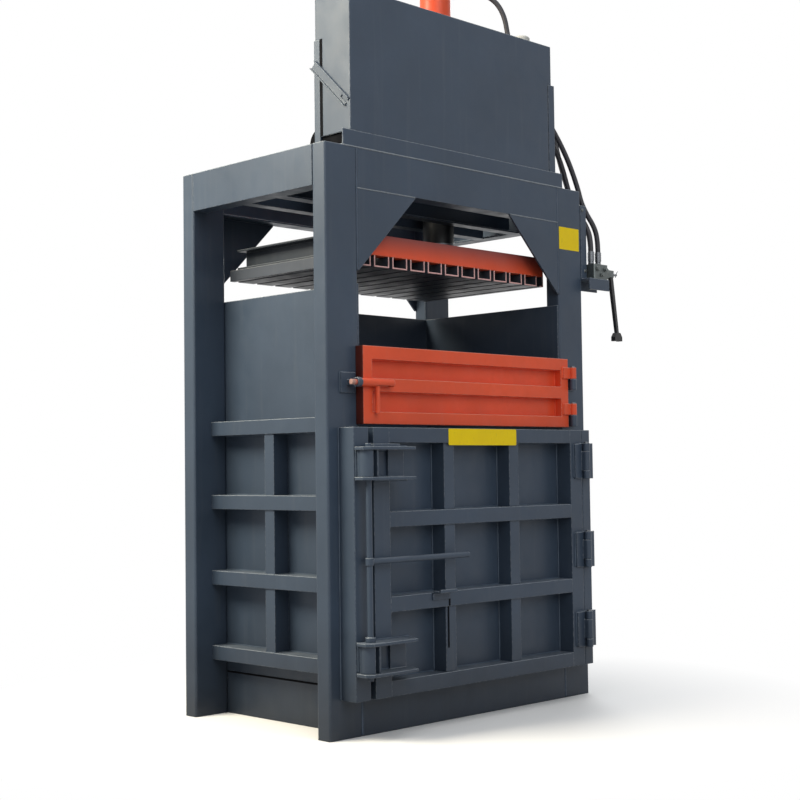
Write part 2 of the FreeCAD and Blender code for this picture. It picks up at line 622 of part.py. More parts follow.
def build_door_hinges(pins):
    """Three butt hinges: ears on the column, a knuckle and a tapered leaf on the door, a pin."""
    ears = new_body("door_hinge_ears")
    knuckles = new_body("door_hinge_knuckles")
    axis = (hinge_axis_x, hinge_axis_y)
    leaf_front = hinge_axis_y + D.hinge_radius + D.hinge_leaf_gap
    barrel = circle(axis[0], axis[1], D.hinge_radius)
    bore = circle(axis[0], axis[1], D.pin_radius + D.pin_fit)
    ear_start = D.hinge_door_half + D.hinge_gap
    for level in (D.hinge_low, D.hinge_middle, hinge_high):
        low, high = level - D.hinge_half, level + D.hinge_half
        leaf = rect(axis[0], axis[0] + D.hinge_leaf_run, leaf_front, door_front)
        pad(ears, "Z", [leaf], low, high)
        for start, end in ((low, level - ear_start), (level + ear_start, high)):
            neck = rect(axis[0], axis[0] + D.hinge_radius, axis[1], leaf_front)
            pad(ears, "Z", [barrel], start, end)
            pad(ears, "Z", [neck], start, end)
            cut(ears, "Z", [bore], start, end)
        door_edge = axis[0] - D.hinge_gap
        taper = D.hinge_half - D.hinge_leaf_taper
        outline = [(door_edge - D.hinge_door_leaf_run, level - taper), (door_edge, low),
                   (door_edge, high), (door_edge - D.hinge_door_leaf_run, level + taper)]
        start, end = level - D.hinge_door_half, level + D.hinge_door_half
        pad(knuckles, "Y", [outline], leaf_front, door_front)
        neck = rect(axis[0] - D.hinge_radius, door_edge, axis[1], leaf_front)
        pad(knuckles, "Z", [barrel], start, end)
        pad(knuckles, "Z", [neck], start, end)
        cut(knuckles, "Z", [bore], start, end)
        pin_top = high + D.pin_head_height
        turn(pins, [(0, low), (D.pin_radius, low), (D.pin_radius, high), (D.pin_head, high),
                    (D.pin_head, pin_top), (0, pin_top)], axis[0], axis[1])


# ---------------------------------------------------------------- door lock

def lock_levels():
    """The two levels of the lock, as (bottom, top) of each keeper."""
    half = D.keeper_height / 2
    return [(D.keeper_low - half, D.keeper_low + half), (keeper_high - half, keeper_high + half)]


def build_lock_keepers():
    """Two thick C-shaped barrels on the lock column, slotted to the front."""
    keepers = new_body("lock_keepers")
    x, y = lock_axis_x, lock_axis_y
    half_saddle = D.keeper_saddle / 2
    half_slot = D.keeper_slot / 2
    for low, high in lock_levels():
        pad(keepers, "Z", [circle(x, y, D.keeper_radius)], low, high)
        saddle = rect(x - half_saddle, x + half_saddle, y + D.keeper_saddle_inset, column_front)
        pad(keepers, "Z", [saddle], low, high)
        cut(keepers, "Z", [circle(x, y, D.rod_radius + D.rod_fit)], low, high)
        slot = rect(x - half_slot, x + half_slot, y - D.keeper_radius - D.cut_reach, y)
        cut(keepers, "Z", [slot], low, high)


def build_lock_lugs():
    """Lug plates above and below each keeper, with a base plate between them on the door."""
    lugs = new_body("lock_lugs")
    x, y = lock_axis_x, lock_axis_y
    over_column = column_front - D.lug_column_gap
    outline = [(door_left, door_front), (door_left, over_column),
               (lug_left + D.lug_nose / 2, over_column), (lug_left, over_column - D.lug_nose / 2),
               (lug_left, lug_front + D.lug_nose), (lug_left + D.lug_nose, lug_front),
               (lug_front_right, lug_front), (lug_right, door_front)]
    for low, high in lock_levels():
        for start in (low - D.lug_gap - D.lug_thick, high + D.lug_gap):
            pad(lugs, "Z", [outline], start, start + D.lug_thick)
            bore = circle(x, y, D.rod_radius + D.lug_bore_fit)
            cut(lugs, "Z", [bore], start, start + D.lug_thick)
        base = rect(lug_base_left, lug_base_right, door_front - D.lug_base_thick, door_front)
        pad(lugs, "Z", [base], low - D.lug_gap, high + D.lug_gap)
    top = lock_levels()[1][1] + D.lug_gap + D.lug_thick
    plate = rect(stop_left, stop_right, over_column - D.stop_run, over_column)
    pad(lugs, "Z", [plate], top, top + D.stop_thick)


def build_lock_shaft():
    """The turning rod: round in its lugs, with two flats where it passes the keepers."""
    shaft = new_body("lock_shaft")
    x, y = lock_axis_x, lock_axis_y
    pad(shaft, "Z", [circle(x, y, D.rod_radius)], D.rod_bottom, D.rod_top)
    half_flat = D.rod_flat / 2
    reach = D.rod_radius + D.cut_reach
    for low, high in lock_levels():
        sides = [rect(x - reach, x + reach, y + half_flat, y + reach),
                 rect(x - reach, x + reach, y - reach, y - half_flat)]
        cut(shaft, "Z", sides, low - D.lug_gap, high + D.lug_gap)
    collar_low = lock_levels()[0][1] + D.lug_gap + D.lug_thick
    collar = circle(x, y, D.collar_radius)
    pad(shaft, "Z", [collar], collar_low, collar_low + D.collar_height)
    lever = new_body("lock_lever")
    half_hub = D.lever_hub_height / 2
    tip = lever_end
    turn_level(lever, [(x, 0), (x, D.lever_radius), (tip - D.lever_dome, D.lever_radius),
                       (tip, D.lever_radius - D.lever_dome), (tip, 0)], y, D.lever_height)
    hub_low, hub_high = D.lever_height - half_hub, D.lever_height + half_hub
    pad(lever, "Z", [circle(x, y, D.lever_hub_radius)], hub_low, hub_high)
    cut(lever, "Z", [circle(x, y, D.rod_radius + D.pin_fit)], hub_low, hub_high)
    rest = new_body("lever_rest")
    top = D.door_rib_low + D.door_rib_height
    thick, reach, step = D.rest_thick, D.rest_reach, D.rest_step
    foot = top - D.door_rib_height / 2
    outline = [(door_front, foot), (door_front, top), (door_front - step, top + thick),
               (door_front - reach, top + thick), (door_front - reach, top + D.rest_lip),
               (door_front - reach - thick, top + D.rest_lip), (door_front - reach - thick, top),
               (door_front - step, top), (door_front - thick, top - thick),
               (door_front - thick, foot)]
    pad(rest, "X", [outline], rest_left, rest_right)


# ---------------------------------------------------------------- feed gate

def build_gate():
    """The feed gate: a tube frame with a middle rail and two sheets set at its back."""
    frame = new_body("gate_frame")
    left, right = gate_left + D.gate_stile, gate_right - D.gate_stile
    for low_x, high_x in ((gate_left, left), (right, gate_right)):
        section = tube(low_x, high_x, gate_front, gate_back, D.gate_wall)
        pad(frame, "Z", section, gate_bottom, gate_top)
    low_top = gate_bottom + D.gate_rail_bottom
    high_low = gate_top - D.gate_rail_top
    for low, high in ((gate_bottom, low_top), (gate_mid_bottom, gate_mid_top),
                      (high_low, gate_top)):
        section = tube(gate_front, gate_back, low, high, D.gate_wall)
        pad(frame, "X", section, left + D.weld_gap, right - D.weld_gap)
    sheets = new_body("gate_panel")
    for low, high in ((low_top, gate_mid_bottom), (gate_mid_top, high_low)):
        outline = rect(left, right, gate_back - D.gate_sheet, gate_back)
        pad(sheets, "Z", [outline], low, high)


def build_gate_hinges(pins):
    """Two lift-off hinges: a knuckle on the gate over a mate that stands off the post."""
    knuckles = new_body("gate_hinge_knuckles")
    mates = new_body("gate_hinge_mates")
    x, y = gate_axis_x, gate_axis_y
    barrel = circle(x, y, D.hinge_radius)
    bore = circle(x, y, D.pin_radius + D.pin_fit)
    for level in (gate_knuckle_low, gate_knuckle_high):
        top = level + D.gate_knuckle
        mate_top = level - D.hinge_gap
        mate_low = mate_top - D.gate_knuckle
        pad(knuckles, "Z", [barrel], level, top)
        leaf = rect(x - D.gate_leaf_run, x, gate_front - D.gate_leaf_thick, gate_front)
        pad(knuckles, "Z", [leaf], level, top)
        cut(knuckles, "Z", [bore], level, top)
        pad(mates, "Z", [barrel], mate_low, mate_top)
        web = rect(x - D.hinge_radius / 2, x + D.hinge_radius / 2, y, front)
        pad(mates, "Z", [web], mate_low, mate_top)
        leaf = rect(x - D.hinge_radius / 2, x + D.gate_mate_run, front - D.gate_leaf_thick, front)
        pad(mates, "Z", [leaf], mate_low, mate_top)
        cut(mates, "Z", [bore], mate_low, mate_top)
        pin_top = top + D.pin_head_height
        turn(pins, [(0, mate_low), (D.pin_radius, mate_low), (D.pin_radius, top),
                    (D.pin_head, top), (D.pin_head, pin_top), (0, pin_top)], x, y)


def build_gate_bolt():
    """The slide bolt in its slotted guide tube, and the ring on the post that takes it."""
    y, z = gate_front - D.guide_radius, bolt_height
    half_saddle = D.guide_saddle / 2
    bore = circle(y, z, D.bolt_radius + D.bolt_fit)
    guide = new_body("bolt_guide")
    pad(guide, "X", [circle(y, z, D.guide_radius)], guide_left, guide_right)
    saddle = rect(y, gate_front, z - half_saddle, z + half_saddle)
    pad(guide, "X", [saddle], gate_left, guide_right)
    cut(guide, "X", [bore], guide_left, guide_right)
    half_slot = D.bolt_handle_radius + D.slot_clearance
    slot = rect(bolt_handle_x - half_slot, bolt_handle_x + D.bolt_travel + half_slot,
                y - half_slot, y + half_slot)
    cut(guide, "Z", [slot], z - D.guide_radius - D.cut_reach, z)
    bolt = new_body("gate_bolt")
    pad(bolt, "X", [circle(y, z, D.bolt_radius)], bolt_tip, bolt_end)
    pad(bolt, "Z", [circle(bolt_handle_x, y, D.bolt_handle_radius)], bolt_handle_low, z)
    keeper = new_body("gate_keeper")
    plate_front = front - D.keeper_plate_thick
    plate = rect(keeper_plate_left, keeper_plate_right, keeper_plate_low, keeper_plate_high)
    pad(keeper, "Y", [plate], plate_front, front)
    left, right = keeper_ring_left, keeper_ring_right
    pad(keeper, "X", [circle(y, z, D.keeper_ring_radius)], left, right)
    neck = rect(y, plate_front, z - half_saddle, z + half_saddle)
    pad(keeper, "X", [neck], left, right)
    cut(keeper, "X", [circle(y, z, D.bolt_radius + D.slot_clearance)], left, right)


# ---------------------------------------------------------------- platen and cylinders

def build_platen():
    """Eleven upturned channels with strap gaps between them, under a frame of box beams."""
    bars = new_body("platen_channels")
    half = D.bar_width / 2
    sections = [channel(place - half, place + half, platen_bottom, platen_bar_top,
                        D.bar_wall, "+v") for place in bar_places]
    for side in (-1, 1):
        outer = side * platen_half_width
        inner = side * (platen_half_width - D.platen_edge)
        web = side * (platen_half_width - D.platen_edge_wall)
        foot = platen_bottom + D.platen_edge_wall
        sections.append([(outer, platen_bottom), (outer, platen_bar_top), (web, platen_bar_top),
                         (web, foot), (inner, foot), (inner, platen_bottom)])
    pad(bars, "Y", sections, platen_front, platen_bar_back)
    half_width_x = platen_half_width
    front_beam = new_body("platen_front_beam")
    beam_back = platen_front + D.platen_beam_width
    section = tube(platen_front, beam_back, platen_bar_top, platen_top, D.platen_wall)
    pad(front_beam, "X", section, -half_width_x, half_width_x)
    frame = new_body("platen_frame")
    half_centre = D.platen_centre_width / 2
    rear_front = platen_frame_back - D.platen_beam_width
    edge = half_width_x - D.platen_beam_width
    for low_y, high_y in ((-half_centre, half_centre), (rear_front, platen_frame_back)):
        section = tube(low_y, high_y, platen_bar_top, platen_top, D.platen_wall)
        pad(frame, "X", section, D.weld_gap - edge, edge - D.weld_gap)
    sides = [channel(-half_width_x, -edge, platen_bar_top, platen_top, D.platen_wall, "-u"),
             channel(edge, half_width_x, platen_bar_top, platen_top, D.platen_wall, "+u")]
    pad(frame, "Y", sides, beam_back, platen_frame_back)
    sections = []
    for place in cylinder_sides:
        sections += tube(place - half_centre, place + half_centre, platen_bar_top, platen_top,
                         D.platen_wall)
    pad(frame, "Y", sections, beam_back, -half_centre - D.weld_gap)
    pad(frame, "Y", sections, half_centre + D.weld_gap, rear_front - D.weld_gap)


def build_cylinders():
    """Two long cylinders on mount plates, with glands, rods, and a pipe that links their ports."""
    barrels = new_body("cylinder_barrels")
    glands = new_body("cylinder_glands")
    rods = new_body("piston_rods")
    plates = new_body("cylinder_mount_plates")
    plate_top = D.frame_height + D.mount_plate_thick
    flange_top = plate_top + D.flange_thick
    radius, bore = D.cylinder_radius, D.cylinder_bore
    half_plate = D.mount_plate / 2
    foot_top = platen_top + D.rod_foot_thick
    piston_top = cylinder_inner_top - D.piston_top_gap
    piston_low = piston_top - D.piston_height
    piston = bore - D.piston_fit
    spigot = bore - D.gland_fit
    rod = D.piston_rod_radius
    gland_low = cylinder_bottom - D.gland_rim
    gland_top = cylinder_bottom + D.gland_depth
    for place in cylinder_sides:
        turn(barrels, [(bore, cylinder_bottom), (radius, cylinder_bottom),
                       (radius, plate_top), (D.flange_radius, plate_top),
                       (D.flange_radius, flange_top), (radius, flange_top),
                       (radius, cylinder_top), (0, cylinder_top),
                       (0, cylinder_inner_top), (bore, cylinder_inner_top)], place, 0)
        turn(glands, [(rod + D.gland_fit, gland_low), (D.gland_radius, gland_low),
                      (D.gland_radius, cylinder_bottom), (spigot, cylinder_bottom),
                      (spigot, gland_top), (rod + D.gland_fit, gland_top)], place, 0)
        turn(rods, [(0, platen_top), (D.rod_foot_radius, platen_top),
                    (D.rod_foot_radius, foot_top), (rod, foot_top), (rod, piston_low),
                    (piston, piston_low), (piston, piston_top), (0, piston_top)], place, 0)
        outline = rect(place - half_plate, place + half_plate, -half_plate, half_plate)
        hole = circle(place, 0, radius + D.mount_plate_fit)
        pad(plates, "Z", [outline, hole], D.frame_height, plate_top)
    ports = new_body("cylinder_ports")
    port_z = cylinder_top - D.cylinder_port_drop
    start = radius - D.port_inset
    end = radius + D.port_length
    outline = [(start, 0), (start, D.port_radius), (end, D.port_radius), (end, 0)]
    for place, swing in ((-D.cylinder_place, 0), (D.cylinder_place, 180),
                         (D.cylinder_place, -SIZES["port_swing"])):
        turn_level(ports, outline, 0, port_z, place, swing)
    for place in cylinder_sides:
        cut(ports, "Z", [circle(place, 0, radius)], port_z - D.port_radius, port_z + D.port_radius)
    reach = D.cylinder_place - radius - D.port_length
    pad(ports, "X", [circle(0, port_z, D.link_pipe_radius)], -reach, reach)


# ---------------------------------------------------------------- hood, tank and pump

def build_hood():
    """The front hood on its base rail, bars and a motor plate, with uprights and a brace."""
    rail = new_body("hood_base_rails")
    rail_top = D.frame_height + D.hood_rail_height
    leg_back = front + D.hood_rail_leg
    thick = D.hood_rail_thick
    section = [(front, D.frame_height), (leg_back, D.frame_height),
               (leg_back, D.frame_height + thick), (front + thick, D.frame_height + thick),
               (front + thick, rail_top), (front, rail_top)]
    pad(rail, "X", [section], hood_rail_left, hood_rail_right)
    bar_back = -D.cross_beam_gap / 2
    wide = D.support_bar_width
    near = D.cylinder_place - D.mount_plate / 2 - D.support_gap
    far = D.cylinder_place + D.mount_plate / 2 + D.support_gap
    for left in (hood_rail_left, -far - wide, -near, near - wide, far):
        outline = rect(left, left + wide, leg_back + D.weld_gap, bar_back)
        pad(rail, "Z", [outline], D.frame_height, D.frame_height + thick)
    reach = D.motor_foot_half + D.motor_plate_margin
    plate = rect(-far - wide, wide - near, motor_axis_y - reach, motor_axis_y + reach)
    pad(rail, "Z", [plate], motor_plate_top - D.motor_plate_thick, motor_plate_top)
    cover = new_body("hood_cover")
    sheet_thick = D.hood_sheet
    back = front + D.hood_return
    outline = [(hood_left, back), (hood_left, front), (hood_right, front),
               (hood_right, back), (hood_right - sheet_thick, back),
               (hood_right - sheet_thick, front + sheet_thick),
               (hood_left + sheet_thick, front + sheet_thick), (hood_left + sheet_thick, back)]
    pad(cover, "Z", [outline], rail_top, hood_top)
    round_edges(cover, "Z", D.hood_bend, [(hood_left, front), (hood_right, front)])
    reach = D.cut_reach
    notch = rect(hood_left - reach, hood_left + sheet_thick + reach,
                 front + D.hood_notch_back, back + reach)
    cut(cover, "Z", [notch], rail_top, hood_notch_top)
    step = rect(hood_right_low, hood_right + reach, front - reach, back + reach)
    cut(cover, "Z", [step], rail_top, hood_notch_top)
    uprights = new_body("hood_uprights")
    wide, wall = D.upright_width, D.upright_thick
    low_y = front + D.hood_notch_back + D.upright_gap
    section = [(hood_left, low_y), (hood_left + wide, low_y), (hood_left + wide, low_y + wall),
               (hood_left + wall, low_y + wall), (hood_left + wall, low_y + wide),
               (hood_left, low_y + wide)]
    pad(uprights, "Z", [section], D.frame_height + thick, hood_notch_top)
    wide = D.upright_right_width
    left = hood_right_low + D.upright_right_gap
    section = [(left, front), (left + wide, front), (left + wide, front + wide),
               (left + wide - wall, front + wide), (left + wide - wall, front + wall),
               (left, front + wall)]
    pad(uprights, "Z", [section], rail_top, hood_notch_top)
    build_hood_brace()


def build_hood_brace():
    """A short slanting channel with a forked lower end, flat against the hood's left side."""
    brace = new_body("hood_brace")
    low_y, low_z = brace_front_y, brace_front_z
    high_y, high_z = brace_back_y, brace_back_z
    slant = math.hypot(value(high_y - low_y), value(high_z - low_z))
    across = (value(high_z - low_z) / slant, -value(high_y - low_y) / slant)
    half = D.brace_width / 2
    shift_y, shift_z = half * across[0], half * across[1]
    outline = [(low_y - shift_y, low_z - shift_z), (low_y + shift_y, low_z + shift_z),
               (high_y + shift_y, high_z + shift_z), (high_y - shift_y, high_z - shift_z)]
    outer = hood_left - D.brace_depth
    pad(brace, "X", [outline], outer, hood_left)
    share = 1 - 2 * value(D.brace_wall) / value(D.brace_width)
    groove = [(low_y - shift_y * share, low_z - shift_z * share),
              (low_y + shift_y * share, low_z + shift_z * share),
              (high_y + shift_y * share, high_z + shift_z * share),
              (high_y - shift_y * share, high_z - shift_z * share)]
    cut(brace, "X", [groove], outer - D.brace_wall, hood_left - D.brace_wall)
    run = value(D.brace_fork) / slant
    fork_y, fork_z = low_y + (high_y - low_y) * run, low_z + (high_z - low_z) * run
    narrow = value(D.brace_fork_gap) / value(D.brace_width)
    fork = [(low_y - shift_y * narrow, low_z - shift_z * narrow),
            (low_y + shift_y * narrow, low_z + shift_z * narrow),
            (fork_y + shift_y * narrow, fork_z + shift_z * narrow),
            (fork_y - shift_y * narrow, fork_z - shift_z * narrow)]
    cut(brace, "X", [fork], outer, hood_left)


def build_power_pack():
    """The oil tank with its lid and breather cap, and the motor and pump beside it."""
    low = D.frame_height + D.hood_rail_thick
    tank = new_body("oil_tank")
    pad(tank, "Z", [rect(tank_left, tank_right, tank_front, tank_back)], low, tank_top)
    round_edges(tank, "Z", D.tank_corner)
    lip, lid_top = D.tank_lid_lip, tank_top + D.tank_lid
    outline = rect(tank_left - lip, tank_right + lip, tank_front - lip, tank_back + lip)
    pad(tank, "Z", [outline], tank_top, lid_top)
    round_edges(tank, "Z", D.tank_corner)
    cap = new_body("tank_cap")
    neck_top = lid_top + D.cap_neck_height
    cap_top = lid_top + D.cap_height
    crown = D.cap_radius - D.cap_bevel
    turn(cap, [(0, lid_top), (D.cap_neck, lid_top), (D.cap_neck, neck_top),
               (D.cap_radius, neck_top), (D.cap_radius, cap_top - D.cap_bevel),
               (crown, cap_top), (0, cap_top)], cap_x, cap_y)
    motor = new_body("pump_motor")
    y, z = motor_axis_y, motor_axis_z
    radius, root = D.motor_radius, D.motor_radius - D.motor_fin
    pitch = (motor_right - motor_left) / (SIZES["motor_fins"] * 2 + 1)
    outline = [(motor_left, 0), (motor_left, root)]
    for number in range(SIZES["motor_fins"]):
        start = motor_left + pitch * (2 * number + 1)
        outline += [(start, root), (start, radius), (start + pitch, radius), (start + pitch, root)]
    outline += [(motor_right, root), (motor_right, 0)]
    turn_level(motor, outline, y, z)
    half_foot = D.motor_foot_half
    foot_left = motor_left + half_foot / 2
    foot = rect(foot_left, foot_left + half_foot * 2, y - half_foot, y + half_foot)
    pad(motor, "Z", [foot], motor_plate_top, z - D.motor_foot_drop)
    box = rect(foot_left, foot_left + half_foot, y - half_foot / 2, y + half_foot / 2)
    pad(motor, "Z", [box], z + root / 2, z + D.motor_box_top)
    pump = new_body("hydraulic_pump")
    bell_end = motor_right + D.bell_length
    bell = D.motor_shaft_housing
    half_pump = D.pump_half
    turn_level(pump, [(motor_right, 0), (motor_right, root), (motor_right + D.bell_rim, root),
                      (bell_end, bell), (bell_end, 0)], y, z)
    block = rect(y - half_pump, y + half_pump, z - half_pump, z + half_pump)
    pad(pump, "X", [block], bell_end - D.bell_rim, bell_end + D.pump_length)
    pad(pump, "X", [circle(y, z, D.port_radius)], bell_end + D.pump_length, tank_left)


# ---------------------------------------------------------------- valve and its handle

def build_valve(pins):
    """The lever valve on its shelf beside the right post, with the strip that holds the hoses."""
    bracket = new_body("valve_bracket")
    back = valve_back
    shelf_top = bracket_bottom
    thick = D.bracket_thick
    strip = rect(half_width, bracket_right, shelf_top, bracket_top)
    pad(bracket, "Y", [strip], front, front + thick)
    shelf = channel(back - D.shelf_depth, back + thick, shelf_top - D.shelf_height, shelf_top,
                    thick, "-v")
    pad(bracket, "X", [shelf], half_width, shelf_right)
    body = new_body("valve_body")
    middle_y = back - D.valve_depth / 2
    middle_z = shelf_top + D.valve_height / 2
    outline = rect(valve_left, valve_right, back - D.valve_depth, back)
    pad(body, "Z", [outline], shelf_top, shelf_top + D.valve_height)
    round_edges(body, "Z", D.fork_wall)
    cap, bevel = D.valve_cap_radius, D.valve_cap_bevel
    turn_level(body, [(valve_right, 0), (valve_right, cap), (valve_cap_end - bevel, cap),
                      (valve_cap_end, cap - bevel), (valve_cap_end, 0)], middle_y, middle_z)
    fork_in = middle_y - D.handle_thick / 2 - D.slot_clearance
    fork_out = fork_in - D.fork_wall
    axis_x, axis_z = handle_axis_x, shelf_top + D.handle_axis_rise
    half_fork = D.handle_fork / 2
    for low_y, high_y in ((fork_out, fork_in), (2 * middle_y - fork_in, 2 * middle_y - fork_out)):
        cheek = rect(valve_cap_end - D.fork_embed, axis_x + half_fork / 2,
                     axis_z - half_fork, axis_z + half_fork)
        pad(body, "Y", [cheek], low_y, high_y)
    bore = circle(axis_x, axis_z, D.handle_pin + D.pin_fit)
    cut(body, "Y", [bore], fork_out, 2 * middle_y - fork_out)
    pad(pins, "Y", [circle(axis_x, axis_z, D.handle_pin)], fork_out, 2 * middle_y - fork_out)
    build_handle(middle_y, axis_x, axis_z, bore)


def build_handle(middle_y, axis_x, axis_z, bore):
    """The hand lever: a boss on the pin, a bar that leans outward, and a two-lobed knob."""
    handle = new_body("valve_handle")
    half = D.handle_thick / 2
    foot_x, foot_z = handle_foot_x, handle_foot_z
    top, tip = D.handle_width / 2, D.handle_foot_half
    bar = [(axis_x - top, axis_z), (foot_x - tip, foot_z), (foot_x + tip, foot_z),
           (axis_x + top, axis_z)]
    pad(handle, "Y", [bar], middle_y - half, middle_y + half)
    pad(handle, "Y", [circle(axis_x, axis_z, D.handle_boss)], middle_y - half, middle_y + half)
    cut(handle, "Y", [bore], middle_y - half, middle_y + half)
    knob = new_body("valve_knob")
    wide, high = D.knob_width / 2, D.knob_height
    shoulder, waist = D.knob_shoulder, D.knob_waist
    low = foot_z - high
    deep = D.knob_thick / 2
    outline = [(foot_x - shoulder, foot_z), (foot_x - wide, low + high / 2), (foot_x - wide, low),
               (foot_x - waist, low), (foot_x, low + D.knob_groove), (foot_x + waist, low),
               (foot_x + wide, low), (foot_x + wide, low + high / 2), (foot_x + shoulder, foot_z)]
    pad(knob, "Y", [outline], middle_y - deep, middle_y + deep)


# ---------------------------------------------------------------- hoses

ARC_SHARE = 0.45


def corner_arcs(points):
    """Straight runs between the points joined by tangent arcs, and the arcs' radii."""
    edges, radii = [], []
    start = points[0]
    for before, corner, after in zip(points, points[1:], points[2:]):
        back, ahead = before - corner, after - corner
        reach = ARC_SHARE * min(back.Length, ahead.Length)
        back.normalize()
        ahead.normalize()
        turned = math.pi - back.getAngle(ahead)
        radius = reach / math.tan(turned / 2)
        inward = back + ahead
        inward.normalize()
        middle = corner + inward * (math.hypot(reach, radius) - radius)
        enter, leave = corner + back * reach, corner + ahead * reach
        edges.append(Part.LineSegment(start, enter).toShape())
        edges.append(Part.Arc(enter, middle, leave).toShape())
        radii.append(radius)
        start = leave
    edges.append(Part.LineSegment(start, points[-1]).toShape())
    return edges, radii


def build_hose(name, first, middle, last):
    """A hose: a round section carried along straight runs and tangent arcs.

    first and last are the places of its two fittings, and middle is the route between them.
    """
    points = [V(*point) for point in [first] + middle + [last]]
    edges, radii = corner_arcs(points)
    path = Part.Wire(edges)
    away = points[1] - points[0]
    radius = value(D.hose_radius)
    ring = Part.Wire(Part.Circle(points[0], away, radius).toShape())
    hose = doc.addObject("Part::Feature", name)
    hose.Label = name
    hose.Shape = path.makePipeShell([ring], True, False)
    hose.Placement = FreeCAD.Placement()
    nodes.append(hose)
    expected = math.pi * radius ** 2 * path.Length
    print(name, "length", round(path.Length), "least radius", round(min(radii)),
          "volume share", round(hose.Shape.Volume / expected, 4))


def ferrule_outline(low, neck_top, high):
    """A fitting's half section: a narrow neck under a wider crimped ferrule."""
    ferrule = D.ferrule_radius
    neck = D.neck_radius
    return [(0, low), (neck, low), (neck, neck_top), (ferrule, neck_top), (ferrule, high),
            (0, high)]


def build_hoses():
    """Three hoses from the valve: to the cylinders, to the pump and back to the tank."""
    fittings = new_body("hose_fittings")
    valve_y = valve_back - D.valve_depth / 2
    valve_top = bracket_bottom + D.valve_height
    neck_top = valve_top + D.neck_height
    ferrule_top = neck_top + D.ferrule_length
    rear_y = valve_y + D.fitting_back
    tops = [(fitting_one, valve_y), (fitting_two, rear_y), (fitting_three, valve_y)]
    for across, depth in tops:
        turn(fittings, ferrule_outline(valve_top, neck_top, ferrule_top), across, depth)
    starts = [(value(across), value(depth), value(ferrule_top)) for across, depth in tops]
    port_z = cylinder_top - D.cylinder_port_drop
    port_face = D.cylinder_radius + D.port_length
    ferrule = D.ferrule_radius
    outline = [(port_face, 0), (port_face, ferrule), (port_face + D.ferrule_length, ferrule),
               (port_face + D.ferrule_length, 0)]
    turn_level(fittings, outline, 0, port_z, D.cylinder_place, -SIZES["port_swing"])
    swing = math.radians(SIZES["port_swing"])
    reach = value(port_face + D.ferrule_length)
    cylinder_end = (value(D.cylinder_place) + reach * math.cos(swing), -reach * math.sin(swing),
                    value(port_z))
    pump_top = motor_axis_z + D.pump_half
    pump_x = motor_right + D.bell_length + D.pump_length / 2
    high = pump_top + D.ferrule_length
    turn(fittings, [(0, pump_top), (ferrule, pump_top), (ferrule, high), (0, high)], pump_x,
         motor_axis_y)
    pump_end = (value(pump_x), value(motor_axis_y), value(high))
    tank_end = tank_right + D.ferrule_length
    pad(fittings, "X", [circle(tank_port_y, tank_port_z, ferrule)], tank_right, tank_end)
    build_hose("cylinder_hose", starts[2], [
        (967, -497, 2225), (949, -489, 2290), (914, -474, 2344), (890, -458, 2406),
        (880, -448, 2470), (852, -443, 2538), (814, -440, 2608), (760, -438, 2682),
        (704, -432, 2752), (652, -415, 2826), (618, -386, 2904), (600, -346, 2984),
        (594, -304, 3062), (597, -270, 3142), (594, -251, 3234), (583, -242, 3326),
        (555, -214, 3401), (503.2, -163.2, 3446)], cylinder_end)
    build_hose("pump_hose", starts[0], [
        (911, -497, 2226), (908, -472, 2290), (894, -440, 2350), (874, -414, 2412),
        (856, -402, 2480), (832, -399, 2552), (796, -398, 2626), (748, -392, 2698),
        (692, -368, 2754), (650, -320, 2792), (630, -252, 2810), (612, -182, 2822),
        (564, -126, 2832), (494, -100, 2840), (420, -98, 2848), (346, -98, 2856),
        (270, -100, 2864), (196, -106, 2874), (124, -124, 2890), (52, -158, 2906),
        (-22, -208, 2920), (-88, -266, 2878), (-130, -310, 2796)], pump_end)
    build_hose("tank_hose", starts[1], [
        (939, -473, 2224), (936, -450, 2290), (922, -418, 2350), (904, -392, 2412),
        (890, -376, 2480), (868, -368, 2550), (844, -362, 2622), (826, -354, 2706),
        (811, -346, 2790), (767, -341, 2862), (693, -340, 2905)],
        (value(tank_end), value(tank_port_y), value(tank_port_z)))


build_frame()
build_walls()
build_base()
build_columns()
build_door()
hinge_pins = new_body("hinge_pins")
build_door_hinges(hinge_pins)
build_lock_keepers()
build_lock_lugs()
build_lock_shaft()
build_gate()
build_gate_hinges(hinge_pins)
build_gate_bolt()
build_platen()
build_cylinders()
build_hood()
build_power_pack()
build_valve(hinge_pins)
build_hoses()
doc.recompute()

for item in doc.Objects:
    faults = [state for state in item.State if state in ("Invalid", "Error")]
    if faults:
        raise RuntimeError("%s is %s" % (item.Name, faults))
for feature in pockets:
    if feature.Shape.Volume >= feature.BaseFeature.Shape.Volume - 1e-3:
        raise RuntimeError("%s takes nothing away" % feature.Name)
for node in nodes:
    if node.Shape.isNull() or not node.Shape.isValid() or not node.Shape.Solids:
        raise RuntimeError("%s has no valid solid" % node.Label)

os.makedirs("parts", exist_ok=True)
for node in nodes:
    node.Shape.exportStep("parts/%s.step" % node.Label)
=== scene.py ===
"""The look of the recycling baler: paint, steel, hoses, signs, welds and fasteners on its frame."""
import json
import math

import bpy
import numpy as np
from mathutils import Matrix, Vector


